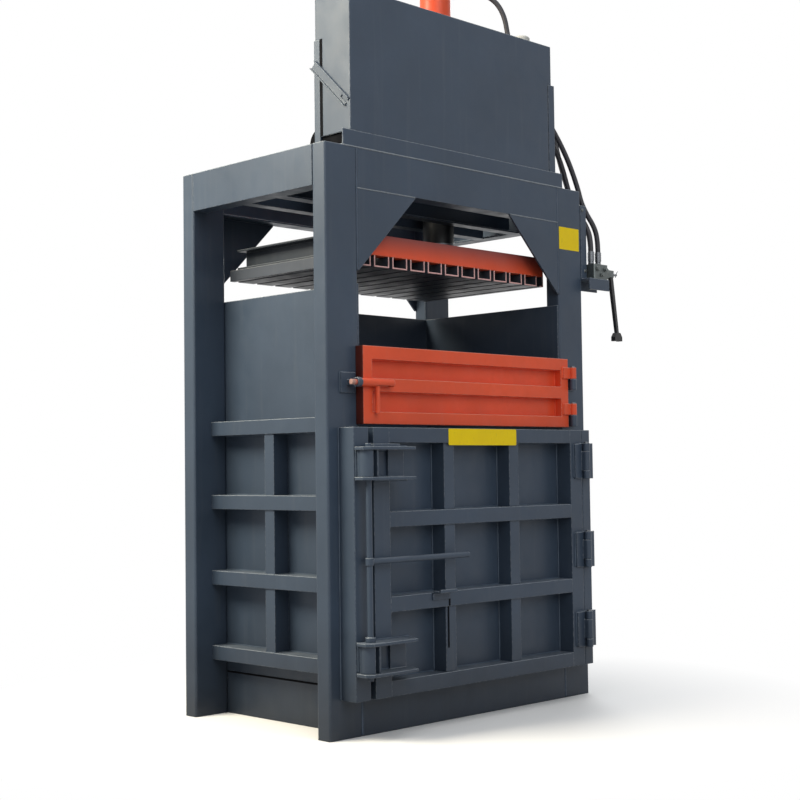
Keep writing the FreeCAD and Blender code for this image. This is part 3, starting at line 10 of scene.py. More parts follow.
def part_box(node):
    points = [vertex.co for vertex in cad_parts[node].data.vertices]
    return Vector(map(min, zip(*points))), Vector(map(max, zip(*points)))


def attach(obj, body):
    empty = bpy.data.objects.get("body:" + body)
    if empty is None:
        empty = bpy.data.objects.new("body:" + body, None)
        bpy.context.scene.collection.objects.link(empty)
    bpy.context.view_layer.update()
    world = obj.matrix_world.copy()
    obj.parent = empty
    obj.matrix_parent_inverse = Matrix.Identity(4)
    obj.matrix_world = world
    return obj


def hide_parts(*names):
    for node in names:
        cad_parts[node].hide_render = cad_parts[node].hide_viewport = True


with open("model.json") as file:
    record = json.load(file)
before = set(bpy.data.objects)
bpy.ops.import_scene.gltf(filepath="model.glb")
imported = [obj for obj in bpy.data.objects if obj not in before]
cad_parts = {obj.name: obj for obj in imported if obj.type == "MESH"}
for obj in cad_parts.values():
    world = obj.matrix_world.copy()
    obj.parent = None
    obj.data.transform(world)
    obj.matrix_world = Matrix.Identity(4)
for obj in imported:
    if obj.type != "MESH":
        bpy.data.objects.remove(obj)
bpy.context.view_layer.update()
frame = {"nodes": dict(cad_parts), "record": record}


def box_of(node):
    """The low and high corners of a node, to a hundredth of a millimetre."""
    return np.round(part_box(node), 5)


# ---------------------------------------------------------------- finishes

def srgb(red, green, blue):
    """The linear colour of an 8-bit sRGB one."""
    shares = [c / 255 for c in (red, green, blue)]
    linear = [c / 12.92 if c <= 0.04045 else ((c + 0.055) / 1.055) ** 2.4 for c in shares]
    return (*linear, 1.0)


def shaded(colour, share, lift=0.0):
    """A colour made darker or paler by a share, lifted a little, up to white."""
    return (*(min(1, c * share + lift) for c in colour[:3]), 1.0)


RUN_GREY = srgb(150, 150, 146)
# painted shade near the floor, laid over the enamel's lowest half metre
LOW_PAINTED_SHADE = srgb(26, 26, 28)
# dust on faces that lie up, in a cool pale colour that is also a painted sheen of sky light
DUST_AND_SKY_SHEEN = srgb(178, 185, 192)
RUST = srgb(112, 74, 52)
RUBBED_STEEL = srgb(214, 214, 212)
# bevel width of the enamel's pale edges, both worn chips and painted highlights
ENAMEL_WEAR_AND_HIGHLIGHT_WIDTH = 0.0055
STEEL_EDGE_WIDTH = 0.0012
MOULDED_EDGE_WIDTH = 0.0015


class Finish:
    """A node material that is put together step by step."""

    def __init__(self, name):
        self.material = bpy.data.materials.new(name)
        self.material.use_nodes = True
        self.nodes = self.material.node_tree.nodes
        self.links = self.material.node_tree.links
        self.shader = self.nodes["Principled BSDF"]
        self.coordinates = self.nodes.new("ShaderNodeTexCoord").outputs["Object"]

    def link(self, source, target):
        """Join an output to an input."""
        self.links.new(source, target)

    def mapped(self, scale):
        """Object coordinates stretched by a scale along each axis."""
        mapping = self.nodes.new("ShaderNodeMapping")
        mapping.inputs["Scale"].default_value = scale
        self.link(self.coordinates, mapping.inputs["Vector"])
        return mapping.outputs["Vector"]

    def noise(self, scale, detail, stretch=(1, 1, 1)):
        """A noise value from 0 to 1 with so many lumps a metre."""
        noise = self.nodes.new("ShaderNodeTexNoise")
        noise.inputs["Scale"].default_value = scale
        noise.inputs["Detail"].default_value = detail
        noise.inputs["Roughness"].default_value = 0.55
        self.link(self.mapped(stretch), noise.inputs["Vector"])
        return noise.outputs["Fac"]

    def span(self, value, low, high, start=0.0, end=1.0):
        """A value stretched from low..high to start..end and held there."""
        span = self.nodes.new("ShaderNodeMapRange")
        span.inputs["From Min"].default_value = low
        span.inputs["From Max"].default_value = high
        span.inputs["To Min"].default_value = start
        span.inputs["To Max"].default_value = end
        self.link(value, span.inputs["Value"])
        return span.outputs["Result"]

    def maths(self, kind, first, second):
        """One sum of two values, each a socket or a number."""
        node = self.nodes.new("ShaderNodeMath")
        node.operation = kind
        for socket, value in zip(node.inputs, (first, second)):
            if isinstance(value, (int, float)):
                socket.default_value = value
            else:
                self.link(value, socket)
        return node.outputs["Value"]

    def mix(self, factor, first, second):
        """Two colours mixed by a factor, each a socket or a plain value."""
        node = self.nodes.new("ShaderNodeMix")
        node.data_type = "RGBA"
        for socket, value in ((node.inputs[0], factor), (node.inputs[6], first),
                              (node.inputs[7], second)):
            if isinstance(value, (int, float, tuple)):
                socket.default_value = value
            else:
                self.link(value, socket)
        return node.outputs[2]

    def part(self, vector, axis):
        """The X, Y or Z part of a vector."""
        parts = self.nodes.new("ShaderNodeSeparateXYZ")
        self.link(vector, parts.inputs["Vector"])
        return parts.outputs[axis]

    def place(self, axis):
        """The place along X, Y or Z, in metres."""
        return self.part(self.coordinates, axis)

    def surface_normal(self):
        """The surface's own normal."""
        return self.nodes.new("ShaderNodeNewGeometry").outputs["Normal"]

    def edges(self, radius):
        """1 at sharp edges and 0 on flat ground, and the rounded normal there."""
        bevel = self.nodes.new("ShaderNodeBevel")
        bevel.samples = 4
        bevel.inputs["Radius"].default_value = radius
        dot = self.nodes.new("ShaderNodeVectorMath")
        dot.operation = "DOT_PRODUCT"
        self.link(bevel.outputs["Normal"], dot.inputs[0])
        self.link(self.surface_normal(), dot.inputs[1])
        return self.span(dot.outputs["Value"], 0.995, 0.86), bevel.outputs["Normal"]

    def bump(self, height, strength, distance, normal=None):
        """A bump of so many metres on top of a normal, joined to the shader."""
        bump = self.nodes.new("ShaderNodeBump")
        bump.inputs["Strength"].default_value = strength
        bump.inputs["Distance"].default_value = distance
        self.link(height, bump.inputs["Height"])
        if normal is not None:
            self.link(normal, bump.inputs["Normal"])
        self.link(bump.outputs["Normal"], self.shader.inputs["Normal"])

    def paint_with(self, colour, rough):
        """A colour and a roughness joined to the shader."""
        self.link(colour, self.shader.inputs["Base Color"])
        self.link(rough, self.shader.inputs["Roughness"])

    def set(self, **sockets):
        """Plain numbers or colours on the shader's own sockets, with _ for a space."""
        for name, value in sockets.items():
            self.shader.inputs[name.replace("_", " ")].default_value = value


def machine_enamel(name, colour, wear_and_highlight_colour, dust_and_sheen_share=0.25, wear_share=0.5, roughness=0.40, zone=None):
    """Sprayed enamel on steel plate: clouded colour, orange peel, dust and a painted sheen on top,
    pale edges of wear and painted highlight.

    Edges that face up are made palest as a painted highlight, and painted shade darkens the lowest
    half metre. zone is a step that may lay one more colour over part of the piece.
    """
    paint = Finish(name)
    clouds = paint.span(paint.noise(2.2, 5), 0.3, 0.7)
    mottle = paint.span(paint.noise(38, 6), 0.35, 0.7)
    deep = shaded(colour, 0.86)
    base = paint.mix(clouds, deep, shaded(colour, 1.12))
    base = paint.mix(paint.maths("MULTIPLY", mottle, 0.25), base, deep)
    runs = paint.span(paint.noise(26, 5, (1, 1, 0.06)), 0.56, 0.78)
    base = paint.mix(paint.maths("MULTIPLY", runs, 0.05), base, RUN_GREY)
    # painted shade: the colour darkens towards the floor, up to a wavy line
    waver = paint.maths("MULTIPLY", paint.noise(9, 6), 0.16)
    low_shade_height = paint.maths("ADD", paint.place("Z"), waver)
    base = paint.mix(paint.span(low_shade_height, 0.10, 0.55, 0.55, 0.0), base, LOW_PAINTED_SHADE)
    # dust on upward faces, mixed with a painted sheen: faces that lie up turn cool and pale
    lying = paint.span(paint.part(paint.surface_normal(), "Z"), 0.4, 1.0)
    dust_and_sheen_film = paint.maths("MULTIPLY", lying, paint.span(paint.noise(7, 6), 0.3, 0.75, 0.3, 1.0))
    base = paint.mix(paint.maths("MULTIPLY", dust_and_sheen_film, dust_and_sheen_share), base, DUST_AND_SKY_SHEEN)
    edge, rounded = paint.edges(ENAMEL_WEAR_AND_HIGHLIGHT_WIDTH)
    chips = paint.maths("MULTIPLY", paint.span(paint.noise(85, 8), 0.42, 0.62), wear_share)
    # painted highlight: edges whose rounded normal faces up turn pale; the chips are real wear
    upward_edge_highlight = paint.span(paint.part(rounded, "Z"), 0.12, 0.45, 0.0, 0.95)
    wear_and_highlight_mask = paint.maths("MULTIPLY", edge, paint.maths("MAXIMUM", chips, upward_edge_highlight))
    base = paint.mix(wear_and_highlight_mask, base, wear_and_highlight_colour)
    if zone:
        base = zone(paint, base)
    paint.paint_with(base, paint.span(paint.noise(14, 5), 0.3, 0.7, roughness - 0.07,
                                      roughness + 0.1))
    peel = paint.maths("ADD", paint.noise(240, 2), paint.maths("MULTIPLY", clouds, 1.5))
    paint.bump(peel, 0.16, 0.0006, rounded)
    paint.set(Metallic=0.0, Specular_IOR_Level=0.3)
    return paint.material


def bare_steel(name, colour, roughness, rust=0.0):
    """Machined or rolled steel with fine scratches, smudges and a little rust."""
    steel = Finish(name)
    smudge = steel.span(steel.noise(18, 6), 0.35, 0.7)
    base = steel.mix(smudge, colour, shaded(colour, 0.72))
    spots = steel.span(steel.noise(60, 8), 0.55, 0.72)
    base = steel.mix(steel.maths("MULTIPLY", spots, rust), base, RUST)
    edge, rounded = steel.edges(STEEL_EDGE_WIDTH)
    base = steel.mix(steel.maths("MULTIPLY", edge, 0.35), base, RUBBED_STEEL)
    scratches = steel.noise(300, 3)
    steel.paint_with(base, steel.span(scratches, 0.3, 0.7, roughness - 0.08, roughness + 0.12))
    steel.bump(scratches, 0.12, 0.0003, rounded)
    steel.set(Metallic=0.9)
    return steel.material


def moulded(name, colour, roughness, texture=260, shine=0.5):
    """Moulded plastic or rubber, or paint on a weld: a fine eggshell skin with dusty clouds."""
    skin = Finish(name)
    dusty = skin.span(skin.noise(12, 6), 0.4, 0.75)
    base = skin.mix(dusty, colour, shaded(colour, 1.4, 0.004))
    grain = skin.noise(texture, 4)
    skin.paint_with(base, skin.span(grain, 0.3, 0.7, roughness - 0.06, roughness + 0.1))
    _, rounded = skin.edges(MOULDED_EDGE_WIDTH)
    skin.bump(grain, 0.2, 0.0004, rounded)
    skin.set(Specular_IOR_Level=shine)
    return skin.material


def sign_face(name):
    """Yellow enamelled sign sheet with faint clouds and scuffs."""
    sign = Finish(name)
    clouds = sign.span(sign.noise(9, 5), 0.3, 0.7)
    base = sign.mix(clouds, srgb(238, 204, 0), srgb(246, 214, 6))
    upward_edge_highlight = sign.span(sign.noise(120, 7, (1, 1, 0.3)), 0.62, 0.72)
    base = sign.mix(sign.maths("MULTIPLY", upward_edge_highlight, 0.35), base, srgb(176, 158, 60))
    sign.paint_with(base, sign.span(clouds, 0, 1, 0.32, 0.44))
    sign.bump(sign.noise(500, 2), 0.1, 0.0002)
    sign.set(Specular_IOR_Level=0.25)
    return sign.material


def overspray(paint, base):
    """Pale pink overspray on the front 3 mm of the platen's channels."""
    front = box_of("platen_channels")[0][1]
    reach = paint.span(paint.place("Y"), front + 0.0005, front + 0.003, 1.0, 0.0)
    patchy = paint.span(paint.noise(60, 4), 0.25, 0.6, 0.7, 1.0)
    return paint.mix(paint.maths("MULTIPLY", reach, patchy), base, srgb(236, 186, 182))


def top_painted_shadow(paint, base):
    """Painted shadow of the beam above on the platen's front beam, darkest at its top."""
    low, high = box_of("platen_front_beam")
    beam_shadow = paint.span(paint.place("Z"), low[2] + 0.010, high[2] - 0.006, 0.0, 0.95)
    return paint.mix(beam_shadow, base, srgb(128, 62, 58))


def shadowed_gate_end(paint, base):
    """Painted shadow on the end of the gate that swings past the post."""
    end = box_of("gate_frame")[0][0]
    end_shadow = paint.span(paint.place("X"), end + 0.0002, end + 0.001, 0.9, 0.0)
    return paint.mix(end_shadow, base, srgb(40, 20, 20))


def bare_end(paint, base):
    """Paint rubbed off the slide bolt's end where it runs in its keeper."""
    end = box_of("gate_bolt")[0][0]
    rubbed = paint.span(paint.place("X"), end + 0.012, end + 0.032, 0.9, 0.0)
    return paint.mix(rubbed, base, srgb(168, 140, 132))


def foot_painted_shade(paint, base):
    """The barrels' feet near-black as painted shade, up to a sharp line 140 mm above the mount
    plates.
    """
    line = box_of("cylinder_mount_plates")[1][2] + 0.140
    foot = paint.span(paint.place("Z"), line - 0.0005, line + 0.0005, 1.0, 0.0)
    return paint.mix(foot, base, srgb(22, 24, 28))


SLATE = srgb(59, 71, 87)
# pale edge colour of the slate: real wear on chips and a painted highlight on edges facing up
WORN_AND_HIGHLIT_SLATE = srgb(166, 174, 182)
ORANGE = srgb(226, 86, 52)
PALE_ORANGE = srgb(236, 170, 150)
finishes = {
    "frame_paint": machine_enamel("slate_enamel", SLATE, WORN_AND_HIGHLIT_SLATE),
    "press_paint": machine_enamel("orange_enamel", ORANGE, PALE_ORANGE, 0.10),
    # the platen's frame in a darkened slate, as painted shade inside the chamber
    "platen_paint": machine_enamel("platen_shaded_enamel", srgb(46, 52, 60), srgb(110, 114, 118), 0.16,
                                   0.7),
    "steel": bare_steel("machined_steel", srgb(112, 115, 120), 0.38, 0.12),
    "rod_chrome": bare_steel("hard_chrome", srgb(206, 208, 210), 0.16),
    "black_plastic": moulded("black_plastic", srgb(20, 20, 22), 0.45),
    "zinc": bare_steel("zinc_casting", srgb(100, 106, 106), 0.42, 0.1),
    "cap_plastic": moulded("cap_plastic", srgb(176, 176, 172), 0.5),
    "hose_rubber": moulded("hose_cover", srgb(27, 27, 34), 0.55, 420),
    "motor_paint": machine_enamel("motor_enamel", srgb(46, 54, 66), srgb(116, 122, 130)),
}
platen_slate = machine_enamel("channel_enamel", srgb(66, 71, 80), srgb(126, 128, 130), 0.16, 0.7,
                              zone=overspray)
# the platen's front beam with a painted shadow along its top
platen_orange = machine_enamel("platen_front_enamel", ORANGE, PALE_ORANGE, 0.10, 0.8,
                               zone=top_painted_shadow)
# the gate with a painted shadow on its end beside the post
gate_orange = machine_enamel("gate_enamel", ORANGE, PALE_ORANGE, 0.10, 1.0, zone=shadowed_gate_end)
bolt_orange = machine_enamel("bolt_enamel", ORANGE, PALE_ORANGE, 0.10, 0.8, zone=bare_end)
# the barrels with painted shade on their feet
barrel_orange = machine_enamel("barrel_enamel", ORANGE, PALE_ORANGE, 0.06, zone=foot_painted_shade)
inner_slate = machine_enamel("chamber_enamel", srgb(58, 64, 72), srgb(112, 116, 120), 0.05, 0.3)
# pale colour of the beams' weld runs: a painted highlight along the joints
pale_seam_highlight = machine_enamel("pale_seam_highlight", srgb(116, 125, 134), srgb(160, 166, 172), 0.3, 0.8,
                             0.34)
sign_yellow = sign_face("sign_yellow")
# near-black sheet: painted shade in gaps, and the black rubber of the hood's flap
black_rubber_and_shade_sheet = moulded("black_rubber_and_shade_sheet", srgb(10, 11, 15), 0.85, 260, 0.06)
seam_paint = moulded("seam_paint", SLATE, 0.45, 240, 0.3)
weld_slate = moulded("painted_weld", srgb(66, 78, 93), 0.40, 300, 0.35)
weld_orange = moulded("painted_gate_weld", srgb(228, 92, 60), 0.42, 300, 0.35)

special = {
    "floor_plate": inner_slate,
    "floor_bars": inner_slate,
    "platen_channels": platen_slate,
    "platen_front_beam": platen_orange,
    "gate_frame": gate_orange,
    "gate_bolt": bolt_orange,
    "cylinder_barrels": barrel_orange,
}
slots = {row["node"]: row["material_slot"] for row in frame["record"]["subparts"]}
for node, piece in frame["nodes"].items():
    piece.data.materials.clear()
    piece.data.materials.append(special.get(node, finishes[slots[node]]))


# ---------------------------------------------------------------- surfaces

RIGHT, BACK, UP = (1, 0, 0), (0, 1, 0), (0, 0, 1)
LEFT, FORWARD, DOWN = (-1, 0, 0), (0, -1, 0), (0, 0, -1)


def surface(name, points, faces, finish, body, smooth=True):
    """A mesh of computed points and faces that rides on a body."""
    mesh = bpy.data.meshes.new(name)
    mesh.from_pydata(np.asarray(points, float).reshape(-1, 3).tolist(), [], faces)
    mesh.polygons.foreach_set("use_smooth", [smooth] * len(mesh.polygons))
    mesh.materials.append(finish)
    mesh.update()
    piece = bpy.data.objects.new(name, mesh)
    bpy.context.scene.collection.objects.link(piece)
    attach(piece, body)


def quads(rows, columns, start):
    """The faces between rows of points, where the points of each row join up into a ring."""
    down, along = np.arange(rows - 1)[:, None] * columns, np.arange(columns)[None, :]
    after = (along + 1) % columns
    corners = [down + along, down + after, down + columns + after, down + columns + along]
    return (np.stack(corners, -1).reshape(-1, 4) + start).tolist()


def swept(path, outline, across, up):
    """An outline carried along a path: point + u * across + v * up at each step."""
    path = np.asarray(path, float)[:, None, :]
    outline = np.asarray(outline, float)[None, :, :]
    return (path + outline[..., :1] * np.asarray(across, float)
            + outline[..., 1:] * np.asarray(up, float))


def capped(points, start=0):
    """Side faces of a swept form with both of its ends closed."""
    rows, columns = points.shape[:2]
    faces = quads(rows, columns, start)
    faces.append([start + i for i in reversed(range(columns))])
    faces.append([start + (rows - 1) * columns + i for i in range(columns)])
    return faces


def joined(name, forms, finish, body, smooth=True):
    """Several closed forms in one piece."""
    points, faces, start = [], [], 0
    for form in forms:
        points.append(form.reshape(-1, 3))
        faces += capped(form, start)
        start += form.shape[0] * form.shape[1]
    surface(name, np.concatenate(points), faces, finish, body, smooth)


def turned(centre, direction, profile, sides=24):
    """A turned form: at each (run, radius) of the profile a ring of so many points.

    point = centre + run * direction + radius * (cos t * u + sin t * v), where u and v are unit
    vectors square to the direction and to each other
    """
    direction = np.asarray(direction, float) / np.linalg.norm(direction)
    helper = np.array(UP if abs(direction[2]) < 0.9 else RIGHT, float)
    across = np.cross(helper, direction)
    across /= np.linalg.norm(across)
    profile = np.asarray(profile, float)
    t = np.linspace(0, 2 * np.pi, sides, endpoint=False)[:, None]
    ring = np.cos(t) * across + np.sin(t) * np.cross(direction, across)
    runs = profile[:, :1, None] * direction
    return np.asarray(centre, float) + runs + profile[:, 1:, None] * ring[None]


def hexagon_bolt(centre, direction, across_flats, height):
    """A hexagon head with a chamfered crown and a washer under it."""
    radius, thick = across_flats / math.sqrt(3), height * 0.14
    washer = turned(centre, direction, [(0, radius * 1.15), (thick, radius * 1.15)], 20)
    head = turned(np.asarray(centre) + np.asarray(direction) * thick, direction,
                  [(0, radius), (height * 0.72, radius), (height * 0.86, radius * 0.86)], 6)
    return [washer, head]


def bar(low, high):
    """A straight bar between two corners, as a form of two rings."""
    (x0, y0, z0), (x1, y1, z1) = low, high
    outline = [(x0, y0), (x1, y0), (x1, y1), (x0, y1)]
    return swept([(0, 0, z0), (0, 0, z1)], outline, RIGHT, BACK)


def rippled(start, end, step, outline, across, up, depth, pitch):
    """An outline carried along a line and swelled by 1 + depth * |sin(pi * run / pitch)|."""
    start, end = np.asarray(start, float), np.asarray(end, float)
    length = np.linalg.norm(end - start)
    share = np.linspace(0, 1, max(3, int(length / step)) + 1)
    path = start + share[:, None] * (end - start)
    ripple = 1 + depth * np.abs(np.sin(np.pi * share * length / pitch))
    form = swept(path, outline, across, up) - path[:, None, :]
    return path[:, None, :] + form * ripple[:, None, None]


def weld_bead(start, end, leg, across, up):
    """A fillet weld: a bulged triangle of outline carried along a line, rippled every 7 mm."""
    outline = np.array([(0, 0), (1, 0), (0.62, 0.62), (0, 1)]) * leg
    if np.dot(np.cross(across, up), np.subtract(end, start)) < 0:
        outline = outline[::-1]
    return rippled(start, end, 0.006, outline, across, up, 0.14, 0.007)


def level_beads(start, end, levels, leg, out, inside=False):
    """Two level fillets between two (x, y) places: below the first level and above the second.

    Inside a field they lie above the first and below the second.
    """
    turns = (UP, DOWN) if inside else (DOWN, UP)
    return [weld_bead((*start, z), (*end, z), leg, out, up) for z, up in zip(levels, turns)]


def upright_bead(x, y, levels, leg, across, up):
    """A fillet straight up a corner, from the first level to the second."""
    return weld_bead((x, y, levels[0]), (x, y, levels[1]), leg, across, up)


def seam(start, end, width, rise, out):
    """A flat weld run on flush plates: half an ellipse of outline, rippled every 5 mm.

    height = rise * sin(t) for t from 0 to pi across the run
    """
    along = np.subtract(end, start) / np.linalg.norm(np.subtract(end, start))
    t = np.linspace(0, np.pi, 5)
    outline = np.stack([-np.cos(t) * width / 2, np.sin(t) * rise], 1)
    return rippled(start, end, 0.008, outline, np.cross(out, along), out, 0.25, 0.005)


# ---------------------------------------------------------------- hoses

def hose(name, node, route):
    """A smooth hose on the route's control points, in millimetres."""
    route = [tuple(c / 1e3 for c in point) for point in route]
    curve = bpy.data.curves.new(name, "CURVE")
    curve.dimensions = "3D"
    spline = curve.splines.new("NURBS")
    spline.points.add(len(route) - 1)
    spline.points.foreach_set("co", [c for point in route for c in (*point, 1.0)])
    spline.order_u = 3
    spline.use_endpoint_u = True
    curve.bevel_depth = 0.0125
    curve.bevel_resolution = 5
    curve.resolution_u = 8
    curve.use_fill_caps = True
    curve.materials.append(finishes["hose_rubber"])
    piece = bpy.data.objects.new(name, curve)
    bpy.context.scene.collection.objects.link(piece)
    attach(piece, "frame")
    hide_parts(node)


hose("cylinder_hose_cover", "cylinder_hose", [
    (967, -497, 2158), (967, -497, 2225), (949, -489, 2290), (914, -474, 2344), (890, -458, 2406),
    (880, -448, 2470), (852, -443, 2538), (814, -440, 2608), (760, -438, 2682),
    (704, -432, 2752), (652, -415, 2826), (618, -386, 2904), (600, -346, 2984),
    (594, -304, 3062), (597, -270, 3142), (594, -251, 3234), (583, -242, 3326),
    (555, -214, 3401), (503.2, -163.2, 3446), (443.24, -103.24, 3446)])
hose("pump_hose_cover", "pump_hose", [
    (911, -497, 2158), (911, -497, 2226), (908, -472, 2290), (894, -440, 2350), (874, -414, 2412),
    (856, -402, 2480), (832, -399, 2552), (796, -398, 2626), (748, -392, 2698),
    (692, -368, 2754), (650, -320, 2792), (630, -252, 2810), (612, -182, 2822),
    (564, -126, 2832), (494, -100, 2840), (420, -98, 2848), (346, -98, 2856),
    (270, -100, 2864), (196, -106, 2874), (124, -124, 2890), (52, -158, 2906),
    (-22, -208, 2920), (-88, -266, 2878), (-130, -310, 2796), (-130, -310, 2700)])
hose("tank_hose_cover", "tank_hose", [
    (939, -473, 2158), (939, -473, 2224), (936, -450, 2290), (922, -418, 2350), (904, -392, 2412),
    (890, -376, 2480), (868, -368, 2550), (844, -362, 2622), (826, -354, 2706),
    (811, -346, 2790), (767, -341, 2862), (693, -340, 2905), (608, -340, 2905)])


# ---------------------------------------------------------------- signs

def plate(name, low, high, finish, body, corner=0.006):
    """A thin sheet facing the front with rounded corners; low and high are its corners."""
    t = np.linspace(0, np.pi / 2, 5)
    arc = np.stack([np.cos(t), np.sin(t)], 1) * corner
    x0, x1, z0, z1 = low[0] + corner, high[0] - corner, low[2] + corner, high[2] - corner
    quarter_back = np.array([[0, 1], [-1, 0]])
    outline = np.concatenate([arc + (x1, z1), arc @ quarter_back + (x0, z1),
                              -arc + (x0, z0), -(arc @ quarter_back) + (x1, z0)])
    form = swept([(0, high[1], 0), (0, low[1], 0)], outline, RIGHT, UP)
    surface(name, form, capped(form), finish, body, False)


FRONT = box_of("front_posts")[0][1]
DOOR_FACE = box_of("door_rails")[0][1]
plate("door_sign", (-0.224, DOOR_FACE - 0.0012, 1.1975), (0.224, DOOR_FACE, 1.2695),
      sign_yellow, "door")
plate("post_sign", (0.674, FRONT - 0.001, 2.151), (0.826, FRONT, 2.260),
      sign_yellow, "frame", 0.003)


# ---------------------------------------------------------------- welds

WALL_FACE = -box_of("left_wall")[0][0]
RIB_REACH = -box_of("side_wall_ribs")[0][1]
RIBS = [(low, low + 0.063) for low in (0.248, 0.585, 0.926, 1.257)]
STIFFENER_DEPTH, STIFFENER_SIDES = 0.079, (-0.0265, 0.0365)
KEEPER_HEIGHT, KEEPER_HALF = 0.109, 0.03
DOOR_UPRIGHT = 0.064
DOOR_MIDDLE_RAILS = ((0.506, 0.570), (0.857, 0.921))
DOOR_HINGE_LEVELS, DOOR_HINGE_HALF, DOOR_HINGE_RIGHT = (0.330, 0.705, 1.124), 0.0835, 0.698
LUG_PAIRS, LUG_THICK = ((0.265, 0.388), (1.054, 1.177)), 0.013
LUG_LEFT, LUG_RIGHT, LUG_INNER_RIGHT = -0.6745, -0.484, -0.603
GATE_MIDDLE_RAIL = (1.422, 1.478)
GATE_HINGE_LEAF = 0.053
FILLET, FINE_FILLET, LUG_FILLET = 0.0045, 0.0035, 0.006
KEEPER_FILLET, STIFFENER_FILLET = 0.004, 0.003


def frame_welds():
    """Fillets of the ribs and their stiffeners, the columns and the keepers."""
    runs = []
    for side in (-1, 1):
        wall, rib, out = side * WALL_FACE, side * (WALL_FACE + STIFFENER_DEPTH), (side, 0, 0)
        for levels in RIBS:
            runs += level_beads((wall, -RIB_REACH), (wall, RIB_REACH), levels, FILLET, out)
        for (_, low), (high, _) in zip(RIBS, RIBS[1:]):
            near, far = STIFFENER_SIDES
            runs += level_beads((rib, near), (rib, far), (low, high), STIFFENER_FILLET, out, True)
    half = box_of("rear_wall_ribs")[1][0]
    for levels in RIBS:
        runs += level_beads((-half, RIB_REACH), (half, RIB_REACH), levels, FILLET, BACK)
    for node, side in (("lock_column", -1), ("lock_column", 1), ("hinge_column", 1)):
        low, high = box_of(node)
        x = low[0] if side < 0 else high[0]
        runs.append(upright_bead(x, FRONT, (low[2], high[2]), FILLET, (side, 0, 0), FORWARD))
    column = box_of("lock_column")[0][1]
    low, high = box_of("lock_keepers")
    middle = (low[0] + high[0]) / 2
    for levels in ((low[2], low[2] + KEEPER_HEIGHT), (high[2] - KEEPER_HEIGHT, high[2])):
        for side in (-1, 1):
            runs.append(upright_bead(middle + side * KEEPER_HALF, column, levels, LUG_FILLET,
                                     (side, 0, 0), FORWARD))
    low, high = box_of("gate_keeper")
    levels = (low[2], high[2])
    runs += level_beads((low[0], FRONT), (high[0], FRONT), levels, KEEPER_FILLET, FORWARD)
    for x, side in ((low[0], LEFT), (high[0], RIGHT)):
        runs.append(upright_bead(x, FRONT, levels, KEEPER_FILLET, FORWARD, side))
    joined("frame_welds", runs, weld_slate, "frame")


def frame_seams():
    """Flat weld runs on the frame's flush joints, pale on the beams as a painted highlight and
    painted on the posts.
    """
    beam, top = box_of("front_and_rear_top_beams")[0][2], box_of("front_posts")[1][2]
    rail_low, rail_high = box_of("hood_base_rails")
    gusset = box_of("corner_gussets")[0][2]
    painted = []
    pale = [seam((rail_low[0], FRONT, top), (rail_high[0], FRONT, top), 0.006, 0.0014, FORWARD)]
    for side in (-1, 1):
        x, near = side * WALL_FACE, side * (WALL_FACE - (beam - gusset))
        painted.append(seam((x, FRONT, gusset), (x, FRONT, top), 0.010, 0.0006, FORWARD))
        pale.append(seam((x, FRONT, beam), (near, FRONT, beam), 0.005, 0.0012, FORWARD))
        painted.append(seam((x, FRONT, 0.002), (x, FRONT, 0.155), 0.012, 0.0005, FORWARD))
    joined("frame_seams", painted, seam_paint, "frame")
    joined("beam_seams", pale, pale_seam_highlight, "frame")


def door_welds():
    """Fillets round the nine fields of the door and at the lugs and hinge leaves."""
    runs = []
    rails_low, rails_high = box_of("door_rails")
    uprights_low, uprights_high = box_of("door_uprights")
    skin, half = rails_high[1], uprights_high[0] - DOOR_UPRIGHT
    columns = ((rails_low[0], uprights_low[0]), (-half, half), (uprights_high[0], rails_high[0]))
    (first, second), (third, fourth) = DOOR_MIDDLE_RAILS
    rows = ((uprights_low[2], first), (second, third), (fourth, uprights_high[2]))
    for left, right in columns:
        for levels in rows:
            runs += level_beads((left, skin), (right, skin), levels, FILLET, FORWARD, True)
            for x, side in ((left, RIGHT), (right, LEFT)):
                runs.append(upright_bead(x, skin, levels, FILLET, FORWARD, side))
    for pair in LUG_PAIRS:
        for low, outer_turn in zip(pair, (DOWN, UP)):
            for z, up in ((low, DOWN), (low + LUG_THICK, UP)):
                right = LUG_RIGHT if up == outer_turn else LUG_INNER_RIGHT
                runs.append(weld_bead((LUG_LEFT, DOOR_FACE, z), (right, DOOR_FACE, z), LUG_FILLET,
                                      FORWARD, up))
    leaf = box_of("door_hinge_knuckles")[0][0]
    for level in DOOR_HINGE_LEVELS:
        runs.append(upright_bead(leaf, DOOR_FACE, (level - 0.08, level + 0.08), FILLET, LEFT,
                                 FORWARD))
        for up in (-1, 1):
            z = level + up * DOOR_HINGE_HALF
            start, end = (leaf + 0.003, DOOR_FACE, z - up * 0.003), (DOOR_HINGE_RIGHT, DOOR_FACE, z)
            runs.append(weld_bead(start, end, FINE_FILLET, FORWARD, (0, 0, up)))
    joined("door_welds", runs, weld_slate, "door")


